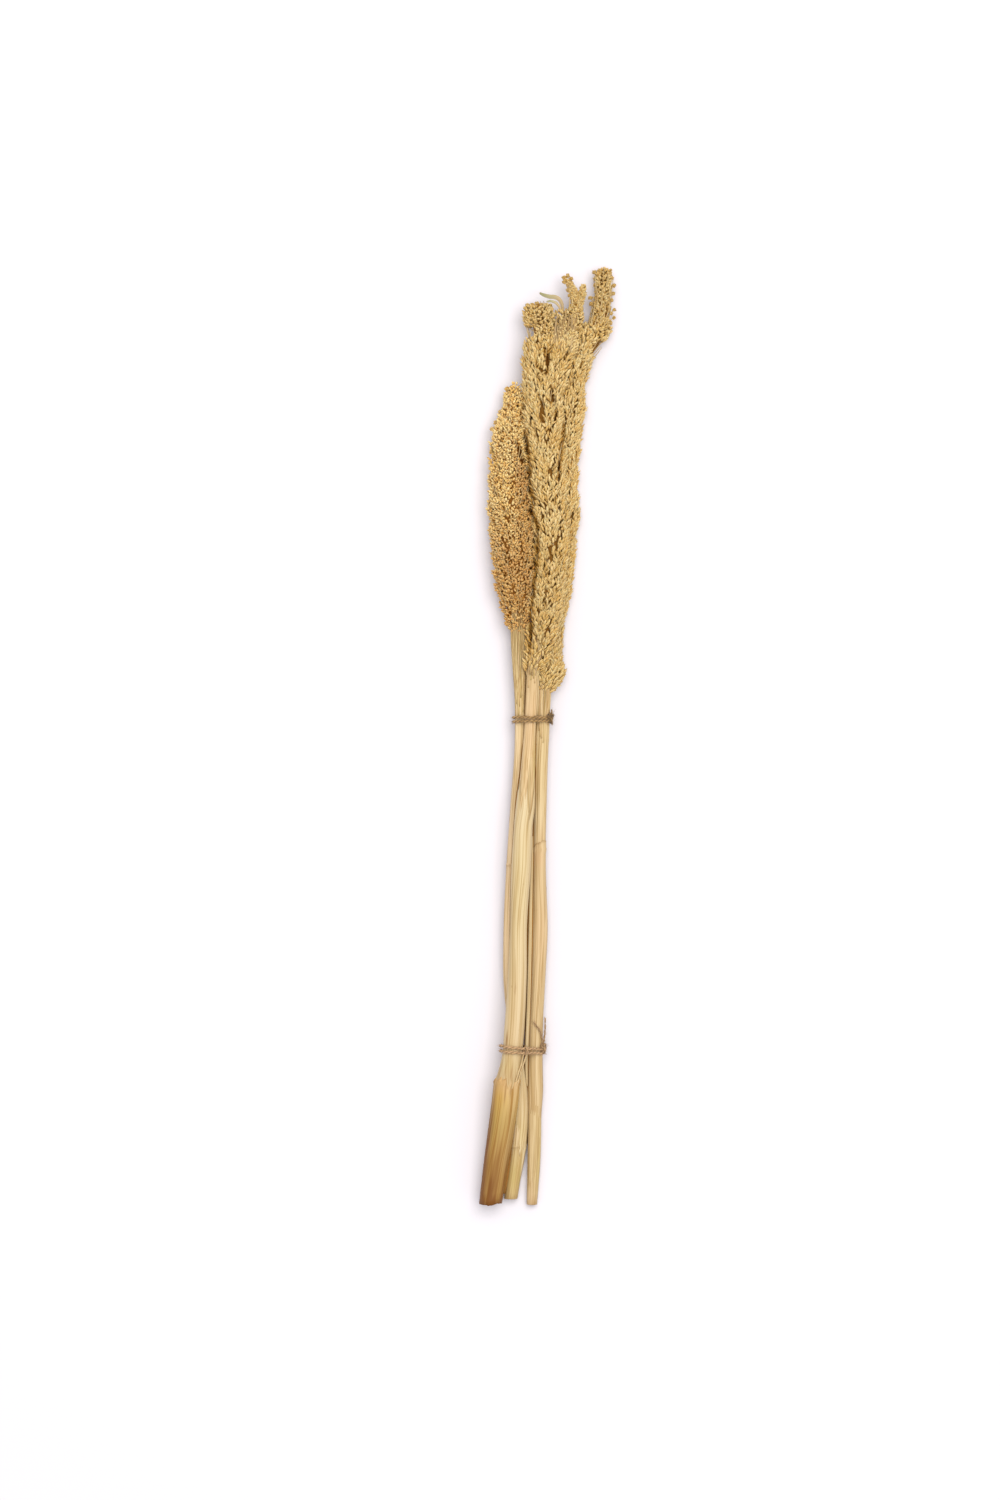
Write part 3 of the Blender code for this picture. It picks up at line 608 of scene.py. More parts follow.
# Stains and hues on the sheaths: angle in degrees, y in mm, half angle, half length, strength.
STAINS = {
    "left": [(150, -290, 12, 14, 0.6)],
    "middle": [(90, -225, 100, 50, 0.1), (90, -254, 120, 7, 0.2), (132, -226, 8, 6, 0.8),
               (98, -188, 5, 2, 0.6), (146, -248, 8, 9, 0.4), (112, -246, 5, 8, 0.3),
               (76, -249, 4, 6, 0.35)],
    "base": [(75, -322, 10, 22, 0.2), (104, -342, 14, 12, 0.3), (26, -325, 12, 40, 0.2),
             (152, -306, 20, 60, 0.3), (92, -268, 4, 7, 0.4), (72, -264, 6, 4, 0.3),
             (174, -335, 14, 26, 0.4), (166, -316, 22, 56, 0.36), (66, -315, 14, 36, -0.16)],
    "right": [(101, -215, 2.5, 70, 0.35)],
}
SHEATH_HUES = {
    "left": [(90, -298, 60, 12, 0.5)],
    "middle": [(95, -110, 50, 46, 0.35), (80, -220, 70, 40, -0.2), (112, -246, 70, 9, 0.5)],
    "base": [(90, -256, 120, 10, -0.8), (110, -290, 90, 14, 0.5), (150, -300, 40, 30, 0.3)],
    "right": [(70, -150, 60, 30, -0.5), (110, -90, 60, 8, -0.8)],
}

# How far each stem's sheaths lift at their lower edge, as a share of their full lift: below zero sinks in.
FOOT_LIFT = {"left": -0.5, "middle": 0.8, "right": -0.5}
print("layers of leaf sheath:", {name: len(layers) for name, layers in LAYERS.items()})

# %% Sheath surface
SHEATH_WALL = 0.4 * MM
SHEATH_COLUMNS = 100
SHEATH_ROW_STEP = 3.5 * MM


def ragged(seed, angle, height):
    """Sums six sine waves of random phase, each finer and lower, to a height in mm."""
    rng = np.random.default_rng(seed)
    wave = np.zeros_like(angle)
    for order in range(6):
        wave = wave + np.sin(angle * (5 + 7 * order) + rng.uniform(0, math.tau)) / (1 + 0.5 * order)
    return wave * height * MM / 2.4


def layer_surface(layer, seed):
    """Wall = outer and inner grid; radius = stem's radius + (lift + slack + curls) x settling + veins."""
    stem, lift, ease, first, last, upper, lower, rough, rim = layer
    share = np.linspace(0.0, 1.0, SHEATH_COLUMNS)
    degrees = first + (last - first) * share
    angle = np.radians(degrees)
    top = np.interp(degrees, *np.array(upper).T) * MM + ragged(seed, angle, rough)
    bottom = np.interp(degrees, *np.array(lower).T) * MM + ragged(seed + 1, angle, 0.4)
    rows = int((top.max() - bottom.min()) / SHEATH_ROW_STEP) + 2
    level = 1.0 - np.linspace(1.0, 0.0, rows)[:, None] ** 1.4
    y = bottom + (top - bottom) * level
    x, z, _ = np.moveaxis(route_at(STEMS[stem], y), -1, 0)
    veins = 0.045 * MM * np.cos(angle * round(math.tau * stem_radius(stem, y).mean() / (1.5 * MM)))
    from_top, from_bottom = (top - y) / MM, (y - bottom) / MM
    side_curl = 0.3 * MM * np.abs(2 * share - 1) ** 10
    top_curl = 0.35 * MM * bell(from_top, 7.0) * (0.5 + 0.5 * np.sin(5 * angle + seed))
    slack = 0.1 * MM * np.sin(3 * angle + y / (47 * MM)) + 0.05 * MM * np.sin(5 * angle - y / (31 * MM))
    settle = smooth(0.0, 34.0, from_bottom) * (1 - FOOT_LIFT[stem]) + FOOT_LIFT[stem]
    settle = settle * (0.3 + 0.7 * smooth(0.0, ease, from_top))
    radius = stem_radius(stem, y) + (lift * MM + slack + side_curl + top_curl) * settle + veins
    wall = SHEATH_WALL * (1 - 0.5 * bell(from_top, 6.0)) * np.maximum(settle, 0.1)
    faces = []
    for reach, order in ((radius + wall / 2, slice(None)), (radius - wall / 2, slice(None, None, -1))):
        face = np.stack([x + reach * np.cos(angle), y, z + reach * np.sin(angle)], -1)
        faces.append(face[:, order])
    side_age = 0.8 * rim * np.abs(2 * share - 1) ** 24 * smooth(0.0, 40.0, from_bottom)
    age = rim * bell(from_top, 1.2) + side_age
    # The last term draws the lower half browner: painted shade under the sheath and in the gaps beside it.
    age = age + 0.5 * (stem == "left") * bell(from_bottom, 0.8) + 0.3 * smooth(0.3, -0.5, np.sin(angle))
    around = angle * stem_radius(stem, y) / MM + 0.0 * y
    return np.concatenate(faces, axis=1), around, angle + 0 * y, y, age


print("rows and columns of the left sheath:", layer_surface(LAYERS["left"][0], 3)[0].shape[:2])


# %% Make the sheaths
def wall_faces(rows, columns):
    """Closes a ring of outer and inner columns along the sheath, and its lower and upper edges."""
    quads = grid_faces(rows, 2 * columns)
    here = np.arange(columns - 1)
    back = 2 * columns - 1 - here
    low = np.stack([here, here + 1, back - 1, back], -1)
    high = (rows - 1) * 2 * columns + low[:, ::-1]
    return np.concatenate([quads, low, high])


def both_faces(values):
    """Repeats a field of the outer face for the inner one."""
    return np.concatenate([values, values[:, ::-1]], axis=1)


def foot_browning(y):
    """Browns the oldest sheath in two long steps towards its cut end, whose rim is the darkest."""
    steps = 0.3 * smooth(-0.264, -0.294, y) + 0.36 * smooth(-0.285, -0.345, y)
    return 0.04 + steps + 0.6 * bell(y + 0.350, 0.004)


def sheath_body(name, layer, seed, shift):
    """Makes one layer with its fibre fields. The shift moves its grain, so that no two layers match."""
    points, around, angle, y, age = layer_surface(layer, seed)
    age = age + patches(STAINS[name], angle, y)
    if name == "base":
        age = age + foot_browning(y)
    hue = np.clip(patches(SHEATH_HUES[name], angle, y), -1, 1)
    around, along, age, hue = (both_faces(value) for value in (around, y / MM, age, hue))
    grain = np.stack([around, along, 0 * around + shift], -1)
    return (points.reshape(-1, 3), wall_faces(len(points), SHEATH_COLUMNS), NO_FACES, grain.reshape(-1, 3),
            np.clip(age, 0, 1).ravel(), hue.ravel())


for number, (name, layers) in enumerate(LAYERS.items()):
    bodies = [sheath_body(name, layer, 3 + number + 20 * index, 9.0 * (number + 5 * index))
              for index, layer in enumerate(layers)]
    material = {"base": SHEATH_BROWN, "right": SHEATH_DULL}.get(name, SHEATH_PALE)
    slot = "brown_sheath" if name == "base" else "dry_sheath"
    make_piece("leaf_sheath_" + name, bodies, FIBRE_FIELDS, material, slot, "sheath_" + name)

# %% [markdown]
# ## Seed heads
# A dense head of this grass is a stack of short branches that all point up. Each carries a few finer
# branchlets, and each branchlet a dozen or so husks, or spikelets, that lean out from it. The husks here
# are 3 to 6 mm long, and a head holds seven to eight thousand. They are made once, as one small closed
# shape, and repeated by numpy into one mesh. The clusters are placed by the rule of the solid model: each
# is a golden angle on from the last.

# %% Tables of the heads, in millimetres
HEAD_LEFT = [
    (78.4, -22.6, 13.5, 4.3), (84.0, -22.9, 13.6, 7.0), (91.9, -23.3, 13.8, 9.2),
    (103.1, -23.8, 14.0, 12.4), (126.4, -25.2, 13.8, 16.4), (155.6, -26.6, 13.8, 17.6),
    (182.6, -28.6, 13.5, 17.0), (201.4, -28.8, 13.2, 15.2), (230.6, -28.2, 12.8, 12.8),
    (242.0, -26.6, 12.3, 9.4), (252.0, -25.2, 11.8, 6.6), (261.0, -26.2, 11.4, 5.4),
]
HEAD_MIDDLE = [
    (49.0, -11.8, 18.4, 4.3), (58.1, -9.4, 18.6, 6.8), (73.1, -5.6, 19.0, 9.8), (103.1, -1.2, 19.4, 10.6),
    (133.1, 1.8, 19.6, 10.6), (163.1, 1.4, 19.6, 11.6), (193.1, -1.1, 19.6, 12.8), (223.1, -2.6, 19.6, 12.8),
    (253.1, -4.1, 19.6, 13.5), (268.1, -5.2, 19.6, 12.8), (290.6, -5.6, 19.2, 11.8),
    (303.0, -4.6, 18.8, 9.6), (313.0, -6.5, 18.4, 10.4), (321.0, -7.8, 18.2, 8.6), (327.0, -8.2, 18.2, 6.4),
]
HEAD_RIGHT = [
    (33.4, -3.8, 12.3, 4.1), (40.1, -1.6, 11.8, 7.4), (47.6, 1.6, 11.0, 9.6), (58.1, 2.2, 10.0, 8.2),
    (73.1, 4.1, 8.8, 6.6), (101.6, 6.4, 7.6, 7.9), (126.4, 9.0, 7.4, 9.0), (151.9, 10.1, 7.4, 9.4),
    (167.6, 12.0, 7.9, 10.1), (193.1, 10.9, 7.6, 9.5), (232.9, 13.9, 8.2, 10.3), (253.1, 15.4, 8.5, 10.9),
    (268.1, 15.8, 8.5, 9.8), (281.6, 20.9, 8.7, 11.0), (292.0, 27.6, 9.2, 11.6), (301.0, 33.6, 9.4, 11.6),
    (310.0, 37.6, 9.4, 9.6), (318.0, 39.4, 9.4, 7.2), (328.1, 40.5, 9.4, 6.6), (339.4, 41.3, 9.6, 7.2),
    (350.5, 41.6, 9.8, 6.6),
]
SIDE_SPRAY = [
    (256.0, 1.6, 20.0, 6.0), (280.0, 6.4, 19.2, 9.4), (296.0, 11.4, 18.6, 10.4), (309.4, 16.4, 18.0, 8.6),
    (321.0, 20.0, 17.4, 5.4), (328.0, 20.2, 17.0, 4.2), (335.0, 18.6, 16.8, 2.0), (343.5, 14.6, 16.4, 1.4),
]
SIDE_TWIG = [(320.0, 20.4, 17.0, 3.4), (329.0, 24.4, 16.6, 2.2), (338.5, 26.6, 16.2, 1.4)]
# Each head: its axes with the number, length and width of their clusters, and its seed.
HEADS = {
    "left": ([(HEAD_LEFT, 122, 17.5, 8.0)], 11),
    "middle": ([(HEAD_MIDDLE, 100, 21.0, 7.4), (SIDE_SPRAY, 26, 14.0, 5.6), (SIDE_TWIG, 5, 8.0, 3.8)], 23),
    "right": ([(HEAD_RIGHT, 122, 20.0, 7.0)], 37),
}
for head, (axes, seed) in HEADS.items():
    print("head", head, "has", sum(row[1] for row in axes), "clusters of husks")

# %% Places of the clusters
GOLDEN_ANGLE = math.radians(137.508)
HEAD_FLATNESS = 0.82


def outwards(angle):
    """Gives the direction out from the axis at an angle."""
    return np.stack([np.cos(angle), 0 * angle, np.sin(angle)], -1)


def section_point(table, y, angle, share):
    """Gives points of a head's section: x = share w cos a and z = 0.82 share w sin a from its centre."""
    x, z, half_width = np.moveaxis(route_at(table, y), -1, 0)
    reach = share * half_width
    height = z + HEAD_FLATNESS * reach * np.sin(angle)
    return np.stack([x + reach * np.cos(angle), y + 0 * reach, height], -1)


def clusters(table, count, length, width, rng):
    """Gives each cluster's root, tip, outward direction and half width, by the solid model's rule."""
    first, last = ends_of(table)
    samples = np.linspace(first, last - 0.75 * length * MM, 200)
    girth = route_at(table, samples)[:, 2]
    total = np.cumsum(girth + 0.3 * girth.max())
    y = np.interp((np.arange(count) + 0.5) / count * total[-1], total, samples)
    draw = rng.random((count, 2))
    angle = np.arange(count) * GOLDEN_ANGLE + 0.4 * draw[:, 0] - 0.2
    size = 0.85 + 0.3 * draw[:, 1]
    reach = length * MM * size * np.minimum(1.0, 0.5 + (y - first) / (length * MM) / 2)
    root = section_point(table, y, angle, 0.6)
    tip = section_point(table, y + reach, angle, 1.02)
    return root, tip, outwards(angle), width * MM * size / 2


trial, *_ = clusters(HEAD_LEFT, 122, 17.5, 8.0, np.random.default_rng(11))
print("the left head's clusters start from y", *np.round([trial[0, 1] / MM, trial[-1, 1] / MM]), "mm")

# %% [markdown]
# ## One husk
# A husk is a pointed boat: it swells quickly from its foot, is fullest below the middle and closes to a
# tip that bends out. Its section has a keel on the outer side and a groove on the inner side. Six sides
# and two rings are enough at this size, which makes 24 triangles.

# %% The husk's shape
HUSK_SIDES = 6
HUSK_LEVELS = np.array([0.24, 0.68])


def husk_shape():
    """Half width = 0.5 sin(pi t^0.8)^0.8 times the section's keel and groove; the tip bends by t^2."""
    angle = np.arange(HUSK_SIDES) * math.tau / HUSK_SIDES
    section = np.array([1.0, 0.92, 1.0, 0.6, 1.0, 0.92])
    half = 0.5 * np.sin(math.pi * HUSK_LEVELS ** 0.8) ** 0.8
    reach = half[:, None] * section
    t = HUSK_LEVELS[:, None] + 0 * reach
    body = np.stack([reach * np.sin(angle), 0.8 * reach * np.cos(angle) + 0.25 * t * t, t], -1)
    poles = np.array([(0.0, 0.0, 0.0), (0.0, 0.3, 1.0)])
    # keel is 1 along the keel and 0 at the sides; the shader darkens the sides as painted shade between
    # husks.
    keel = np.clip(0.35 + np.cos(angle), 0.0, 1.0) + 0 * reach
    return np.concatenate([body.reshape(-1, 3), poles]), np.append(keel.ravel(), [0.0, 1.0])


HUSK, HUSK_KEEL = husk_shape()
HUSK_QUADS = grid_faces(len(HUSK_LEVELS), HUSK_SIDES)
HUSK_FANS = fan_faces(len(HUSK_LEVELS), HUSK_SIDES)
print("one husk has", len(HUSK), "points and", 2 * len(HUSK_QUADS) + len(HUSK_FANS), "triangles")

# %% [markdown]
# ## Placing the husks
# Each cluster is split into small ears that spread over its outer face: three on the left head, and two on
# the others. Husks stand on an ear in rows along its top and sides. The left head's ears have three rows
# of short, round husks that stand out, so its surface looks grainy. The others' have five rows of long,
# flat-lying ones, which look plaited. A carpet of single husks fills a head between its ears. The outline
# is broken by round knobs, which are balls of husks, and by notches. Husks that would lie under the table
# or inside another head are left out.

# %% Sizes of the ears and husks
EAR_LOBE = ([0.0, 0.3, 0.62, 0.85, 1.0], [0.1, 0.6, 1.0, 0.75, 0.3])
# Each head: ears in a cluster and how far they spread in degrees, then the rows of husks on an ear, as
# angles round it in degrees, and the number of husks on it.
EARS = {
    "left": (3, 50.0, (-74.0, 74.0, 0.0), 12), "middle": (2, 40.0, (-82.0, 82.0, -40.0, 40.0, 0.0), 16),
    "right": (2, 40.0, (-82.0, 82.0, -40.0, 40.0, 0.0), 16),
}
# Each head: its husks' length and width in mm, their lean in degrees at an ear's side and on its top, the
# number of husks in the carpet, and how far out these stand, as a share of the head.
HUSKS = {
    "left": (3.1, 2.0, (46.0, 32.0), 3000, 0.78),
    "middle": (6.0, 2.25, (28.0, 10.0), 2700, 0.85),
    "right": (5.6, 2.15, (28.0, 10.0), 3500, 0.87),
}
# The two taller heads end in crowns, where the husks are short and round and stand out more.
CROWN = (286.0 * MM, 308.0 * MM)
CROWN_HUSK = (3.2, 2.1)
CROWN_LEAN = math.radians(20.0)


def husk_build(head, y):
    """Gives the husks' length, width and extra lean at y, which change over to the crown's there."""
    length, width = HUSKS[head][:2]
    crown = smooth(*CROWN, y) * (head != "left")
    length = length + (CROWN_HUSK[0] - length) * crown
    width = width + (CROWN_HUSK[1] - width) * crown
    return length, width, CROWN_LEAN * crown


def ear_points(lobes, spread, t):
    """Point = root to tip by t, plus the lobe's half width towards the spread angle from outward."""
    root, tip, outward, half_width = lobes
    along = unit(tip - root)
    side = unit(np.cross(along, outward))
    out = np.cross(side, along)
    swell = half_width[:, None, None] * np.interp(t, *EAR_LOBE)
    sideways = side[:, None, None] * (swell * np.sin(spread))[..., None]
    lift = out[:, None, None] * (swell * 0.3 * np.cos(spread))[..., None]
    middle = root[:, None, None] + (tip - root)[:, None, None] * t[..., None]
    return middle + sideways * 0.95 + lift, side, out


print("ears:", {head: EARS[head][0] * sum(row[1] for row in axes) for head, (axes, _) in HEADS.items()})


# %% Husks on the ears
def husk_set(foot, direction, outer, length, width):
    """Squares the outer side to the direction, and flattens all to one row for a husk."""
    outer = unit(outer - direction * np.sum(outer * direction, -1, keepdims=True))
    length, width = np.broadcast_arrays(length, width)
    return foot.reshape(-1, 3), direction.reshape(-1, 3), outer.reshape(-1, 3), length.ravel(), width.ravel()


def ear_spread(head):
    """Gives the angles of a cluster's ears from its outward direction, evenly from side to side."""
    ears, spread, _, _ = EARS[head]
    return np.linspace(-1, 1, ears)[None, :, None] * math.radians(spread)


def ear_husks(head, lobes, rng):
    """Sets husks along each ear in turn to its rows; they lean more at its sides than on top."""
    ears, _, rows, count = EARS[head]
    side_lean, top_lean = np.radians(HUSKS[head][2])
    spread = ear_spread(head) + rng.normal(0, 0.25, (len(lobes[0]), ears, 1))
    t = 0.06 + 0.9 * (np.arange(count) + rng.uniform(0.1, 0.9, (len(lobes[0]), ears, count))) / count
    foot, side, out = ear_points(lobes, spread, t)
    line = unit(ear_points(lobes, spread, t + 0.04)[0] - foot)
    here = side[:, None, None] * np.sin(spread)[..., None] + out[:, None, None] * np.cos(spread)[..., None]
    here = unit(here - line * np.sum(here * line, -1, keepdims=True))
    across = np.cross(line, here)
    row = np.radians(rows)[np.arange(count) % len(rows)]
    turn = row + rng.normal(0, 0.2, t.shape)
    swing = here * np.cos(turn)[..., None] + across * np.sin(turn)[..., None]
    length, width, more = husk_build(head, foot[..., 1])
    lean = (top_lean + (side_lean - top_lean) * np.abs(np.sin(row)) + more) * rng.uniform(0.7, 1.3, t.shape)
    direction = unit(line * np.cos(lean)[..., None] + swing * np.sin(lean)[..., None])
    size = rng.uniform(0.85, 1.15, t.shape) * MM
    return husk_set(foot, direction, swing, length * size, width * size)


print("husks on each ear:", {head: row[3] for head, row in EARS.items()})


# %% Husks in the carpet
def carpet_husks(head, table, count, rng):
    """Spreads husks evenly over a head, at a golden angle each, and closes its top with upright ones."""
    _, _, leans, _, share = HUSKS[head]
    ends = ends_of(table)
    samples = np.linspace(*ends, 300)
    girth = route_at(table, samples)[:, 2]
    total = np.cumsum(girth)
    y = np.interp((np.arange(count) + rng.random(count)) / count * total[-1], total, samples)
    angle = np.arange(count) * GOLDEN_ANGLE + rng.normal(0, 0.35, count)
    top = smooth(ends[1] - 5 * MM, ends[1], y)
    low = 1 - smooth(ends[0], ends[0] + 22 * MM, y)
    base_share = share * rng.uniform(0.86, 1.14, count) * (1 - top * rng.uniform(0.2, 0.9, count))
    base_share = base_share * (1 + 0.3 * low)
    half_width = route_at(table, y)[:, 2]
    length, width, more = husk_build(head, y)
    lean = (np.radians(np.mean(leans)) + more) * rng.uniform(0.5, 1.4, count)
    far_share = base_share + 3 * MM * np.sin(lean) / half_width
    foot = section_point(table, y, angle, base_share)
    far = section_point(table, y + 3 * MM * np.cos(lean), angle + rng.normal(0, 0.12, count), far_share)
    size = rng.uniform(0.9, 1.25, count) * MM
    return husk_set(foot, unit(far - foot), outwards(angle), length * size, width * size)


# Small sprays that fill the crown beside the tip of the middle head, each with its number of husks.
CROWN_SPRAYS = [
    ([(284.0, 6.0, 19.0, 5.5), (298.0, 9.0, 18.8, 6.6), (310.0, 9.6, 18.6, 6.2),
      (319.0, 9.0, 18.4, 4.4)], 200),
    ([(290.0, 24.0, 15.0, 4.4), (300.0, 26.0, 14.6, 5.0), (309.0, 27.0, 14.4, 4.0)], 110),
    ([(302.0, -10.0, 18.6, 3.4), (312.0, -12.4, 18.6, 4.4), (319.0, -13.0, 18.4, 4.6),
      (323.0, -13.0, 18.4, 3.8)], 170),
    ([(300.0, -2.4, 19.6, 4.4), (312.0, -2.0, 19.4, 4.8), (319.0, -1.8, 19.0, 4.4),
      (322.6, -1.8, 18.6, 3.4)], 170),
]
print("husks in the sprays of the crown:", sum(count for _, count in CROWN_SPRAYS))

# %% Husks on the knobs
# Each knob: x, y, z and radius in mm.
KNOBS = {
    "left": [
        (-43.0, 214.0, 12.6, 1.8), (-43.6, 190.0, 13.0, 1.6), (-39.6, 236.2, 12.4, 2.0),
        (-43.4, 160.0, 13.4, 1.6), (-36.4, 244.4, 12.2, 1.8), (-42.4, 231.4, 12.4, 1.9),
        (-31.2, 261.6, 11.4, 2.1), (-27.6, 262.2, 11.4, 2.2), (-23.8, 260.6, 11.4, 2.2),
        (-32.2, 257.0, 11.6, 1.9),
    ],
    "middle": [
        (-15.8, 323.4, 18.4, 2.1), (-12.2, 323.6, 18.4, 2.2), (-8.8, 325.0, 18.2, 2.1),
        (-5.4, 323.8, 18.2, 2.2), (-1.8, 323.6, 18.2, 2.2), (1.2, 323.0, 18.2, 2.1),
        (-16.4, 319.0, 18.4, 2.0), (-16.6, 314.4, 18.4, 2.0), (-15.4, 307.9, 18.4, 1.3),
        (-14.2, 299.0, 18.8, 1.4), (-17.0, 293.6, 19.0, 1.5), (11.6, 344.6, 16.4, 1.9),
        (14.4, 346.0, 16.4, 1.9), (17.0, 343.8, 16.4, 1.8), (11.9, 341.4, 16.4, 1.9),
        (15.2, 341.6, 16.6, 2.0), (17.6, 340.2, 16.6, 1.6), (18.8, 337.4, 16.6, 1.4),
        (14.6, 335.4, 16.8, 1.8), (18.6, 334.4, 16.8, 1.9), (22.0, 332.8, 16.8, 1.9),
        (15.6, 331.2, 16.8, 1.7), (26.4, 338.4, 16.2, 1.8), (26.4, 335.0, 16.4, 1.7),
        (25.6, 331.6, 16.6, 1.7), (18.6, 330.0, 17.0, 2.0), (22.6, 329.0, 17.0, 2.1),
    ],
    "right": [
        (34.6, 349.4, 9.6, 2.1), (38.2, 350.2, 9.6, 2.2), (42.0, 348.0, 9.8, 2.2),
        (45.6, 348.6, 9.6, 2.4), (46.9, 351.2, 9.6, 1.2), (47.4, 345.0, 9.6, 2.1),
        (49.2, 339.5, 9.4, 1.9), (48.6, 333.5, 9.4, 1.8), (47.6, 328.6, 9.4, 1.7),
        (49.4, 321.3, 9.4, 1.6), (49.2, 315.3, 9.4, 1.6), (47.0, 318.4, 9.4, 1.8),
        (46.4, 311.6, 9.4, 2.0), (45.6, 305.4, 9.4, 2.1), (43.6, 301.2, 9.4, 2.0),
        (35.2, 344.6, 9.6, 1.9), (35.4, 339.6, 9.6, 1.9), (35.8, 334.6, 9.6, 1.8),
        (31.5, 330.2, 9.6, 1.8), (32.2, 325.6, 9.6, 2.0), (34.6, 321.0, 9.6, 1.9), (8.2, 54.6, 11.6, 3.4),
        (9.9, 48.6, 11.6, 3.6), (7.4, 42.6, 11.8, 3.4), (3.6, 37.0, 12.6, 2.8), (4.6, 58.4, 13.6, 3.0),
    ],
}
KNOB_HUSKS = 26
KNOB_LEAN = np.array([0.0, 0.35, 0.0])


def knob_husks(head, rng):
    """Points husks out from each knob's centre in evenly spread directions of a sphere."""
    place = np.array(KNOBS[head]) * MM
    centre, radius = place[:, None, :3], place[:, None, 3]
    index = np.arange(KNOB_HUSKS)
    up = 1 - 2 * (index + 0.5) / KNOB_HUSKS
    turn = index * GOLDEN_ANGLE + rng.uniform(0, math.tau, (len(place), 1))
    flat = np.sqrt(1 - up * up)
    direction = np.stack([flat * np.cos(turn), np.broadcast_to(up, turn.shape), flat * np.sin(turn)], -1)
    direction = unit(direction + KNOB_LEAN + rng.normal(0, 0.15, direction.shape))
    size = radius * rng.uniform(0.85, 1.1, turn.shape)
    outer = np.cross(direction, rng.normal(size=direction.shape))
    return husk_set(centre + direction * radius[..., None] * 0.1, direction, outer, 0.9 * size, 1.0 * size)


print("knobs:", {head: len(rows) for head, rows in KNOBS.items()}, "with", KNOB_HUSKS, "husks each")

# %% Slim stretches and notches
FAR_OUT = 9.0
# Where a head is slimmer than its solid, so that its knobs show: axis's first y, last y and the factor.
SLIM = {
    "left": [(120.0, 200.0, 0.95)], "middle": [(324.0, 350.0, 0.5)],
    "right": [(58.0, 84.0, 0.74), (40.0, 96.0, 0.94), (282.0, 296.0, 0.9), (312.0, 360.0, 0.64)],
}
# Notches in the outline: x, y and radius in mm. No husk has its middle in one.
BITES = [(-14.6, 303.6, 5.0), (40.5, 290.0, 8.4), (30.4, 318.8, 3.4), (-38.6, 252.0, 5.4),
         (-9.0, 343.4, 20.2), (22.2, 339.6, 2.6), (13.4, 338.2, 2.0), (43.4, 317.4, 1.8)]


def bitten(points):
    """Is true for points that lie in a notch, seen from above."""
    bites = np.array(BITES) * MM
    away = np.hypot(points[:, None, 0] - bites[:, 0], points[:, None, 1] - bites[:, 1])
    return np.any(away < bites[:, 2], axis=1)


def slimmed(head, table, points):
    """Draws points in towards the axis in the slim stretches, with soft ends."""
    x, z, _ = route_at(table, points[:, 1]).T
    y = points[:, 1] / MM
    factor = np.ones(len(points))
    for first, last, share in SLIM[head]:
        inside = smooth(first - 8, first, y) * (1 - smooth(last, last + 8, y))
        factor = factor + (share - 1) * inside
    axis = np.stack([x, points[:, 1], z], -1)
    return axis + (points - axis) * factor[:, None]


def inside_share(table, points):
    """Gives how far out in a head's section points lie: 0 at its axis, 1 at its outline, 9 past its ends."""
    x, z, half_width = route_at(table, points[:, 1]).T
    first, last = ends_of(table)
    reach = np.hypot(points[:, 0] - x, (points[:, 2] - z) / HEAD_FLATNESS) / half_width
    return np.where((points[:, 1] > first) & (points[:, 1] < last), reach, FAR_OUT)


print("notches:", len(BITES), "and slim stretches:", sum(len(rows) for rows in SLIM.values()))

# %% Husk materials
# Dry husks are thin, papery scales, so they are matt, and light goes a little way into them, which
# softens their shadows. They are palest at the tip and tan at the foot, partly their own colour and partly
# painted shade where the husks overlap. Their sides away from the keel are drawn darker as painted shade
# between the husks, and husks deep inside the head are drawn brown as painted shade there.
# The darkest brown, painted as the shade in the slits and on the core.
SLIT_SHADE_BROWN = "#4E2202"
MOTTLE_SIZE = 1.1 * MM


def husk_material(name, tip, body, foot, deep, old):
    """Colours a husk by its random tone, the way from foot to tip, its keel, its depth and its age."""
    material, tree, shader = new_material(name)
    field = {key: node(tree, "ShaderNodeAttribute", attribute_name=key).outputs["Fac"]
             for key in ("tone", "way", "keel", "depth", "age")}
    place = node(tree, "ShaderNodeTexCoord").outputs["Object"]
    mottle = node(tree, "ShaderNodeTexNoise", {"Vector": place, "Scale": 1 / MOTTLE_SIZE, "Detail": 2.0})
    mottle = mottle.outputs["Fac"]
    # The foot is darker, partly its own colour and partly painted shade; keel sides and depth add painted
    # shade.
    shares = [
        (field["tone"], (0.0, 1.0, 1.0), tip), (field["age"], (0.0, 1.0, 0.8), old),
        (field["way"], (0.6, 0.0, 0.4), foot), (field["keel"], (0.9, 0.0, 0.3), foot),
        (mottle, (0.5, 0.72, 0.3), foot), (field["depth"], (0.0, 1.0, 0.85), deep),
        (field["depth"], (1.0, 2.0, 1.0), SLIT_SHADE_BROWN),
    ]
    colour = linear(body)
    for source, (low, high, most), towards in shares:
        colour = blend(tree, source, low, high, most, colour, towards)
    tree.links.new(colour, shader.inputs["Base Color"])
    bump = node(tree, "ShaderNodeBump", {"Height": mottle, "Distance": 0.1 * MM, "Strength": 1.0})
    tree.links.new(bump.outputs[0], shader.inputs["Normal"])
    shader.inputs["Roughness"].default_value = 0.7
    shader.inputs["Specular IOR Level"].default_value = 0.03
    shader.inputs["Subsurface Weight"].default_value = 0.4
    shader.inputs["Subsurface Radius"].default_value = (1.0, 0.85, 0.7)
    shader.inputs["Subsurface Scale"].default_value = 1.6 * MM
    return material


HUSK_TAN = husk_material("dry_husk_tan", "#F0D89C", "#E6BE76", "#B07C34", "#A36A1A", "#B68248")
HUSK_PALE = husk_material("dry_husk_pale", "#E0C892", "#CBA766", "#A67A30", "#9C6E22", "#A68852")
print("husk materials:", HUSK_TAN.name, HUSK_PALE.name)

# %% The core of a head
CORE_COLUMNS = 20
CORE_SHARE = 0.66
CORE_ROW_STEP = 4.5 * MM


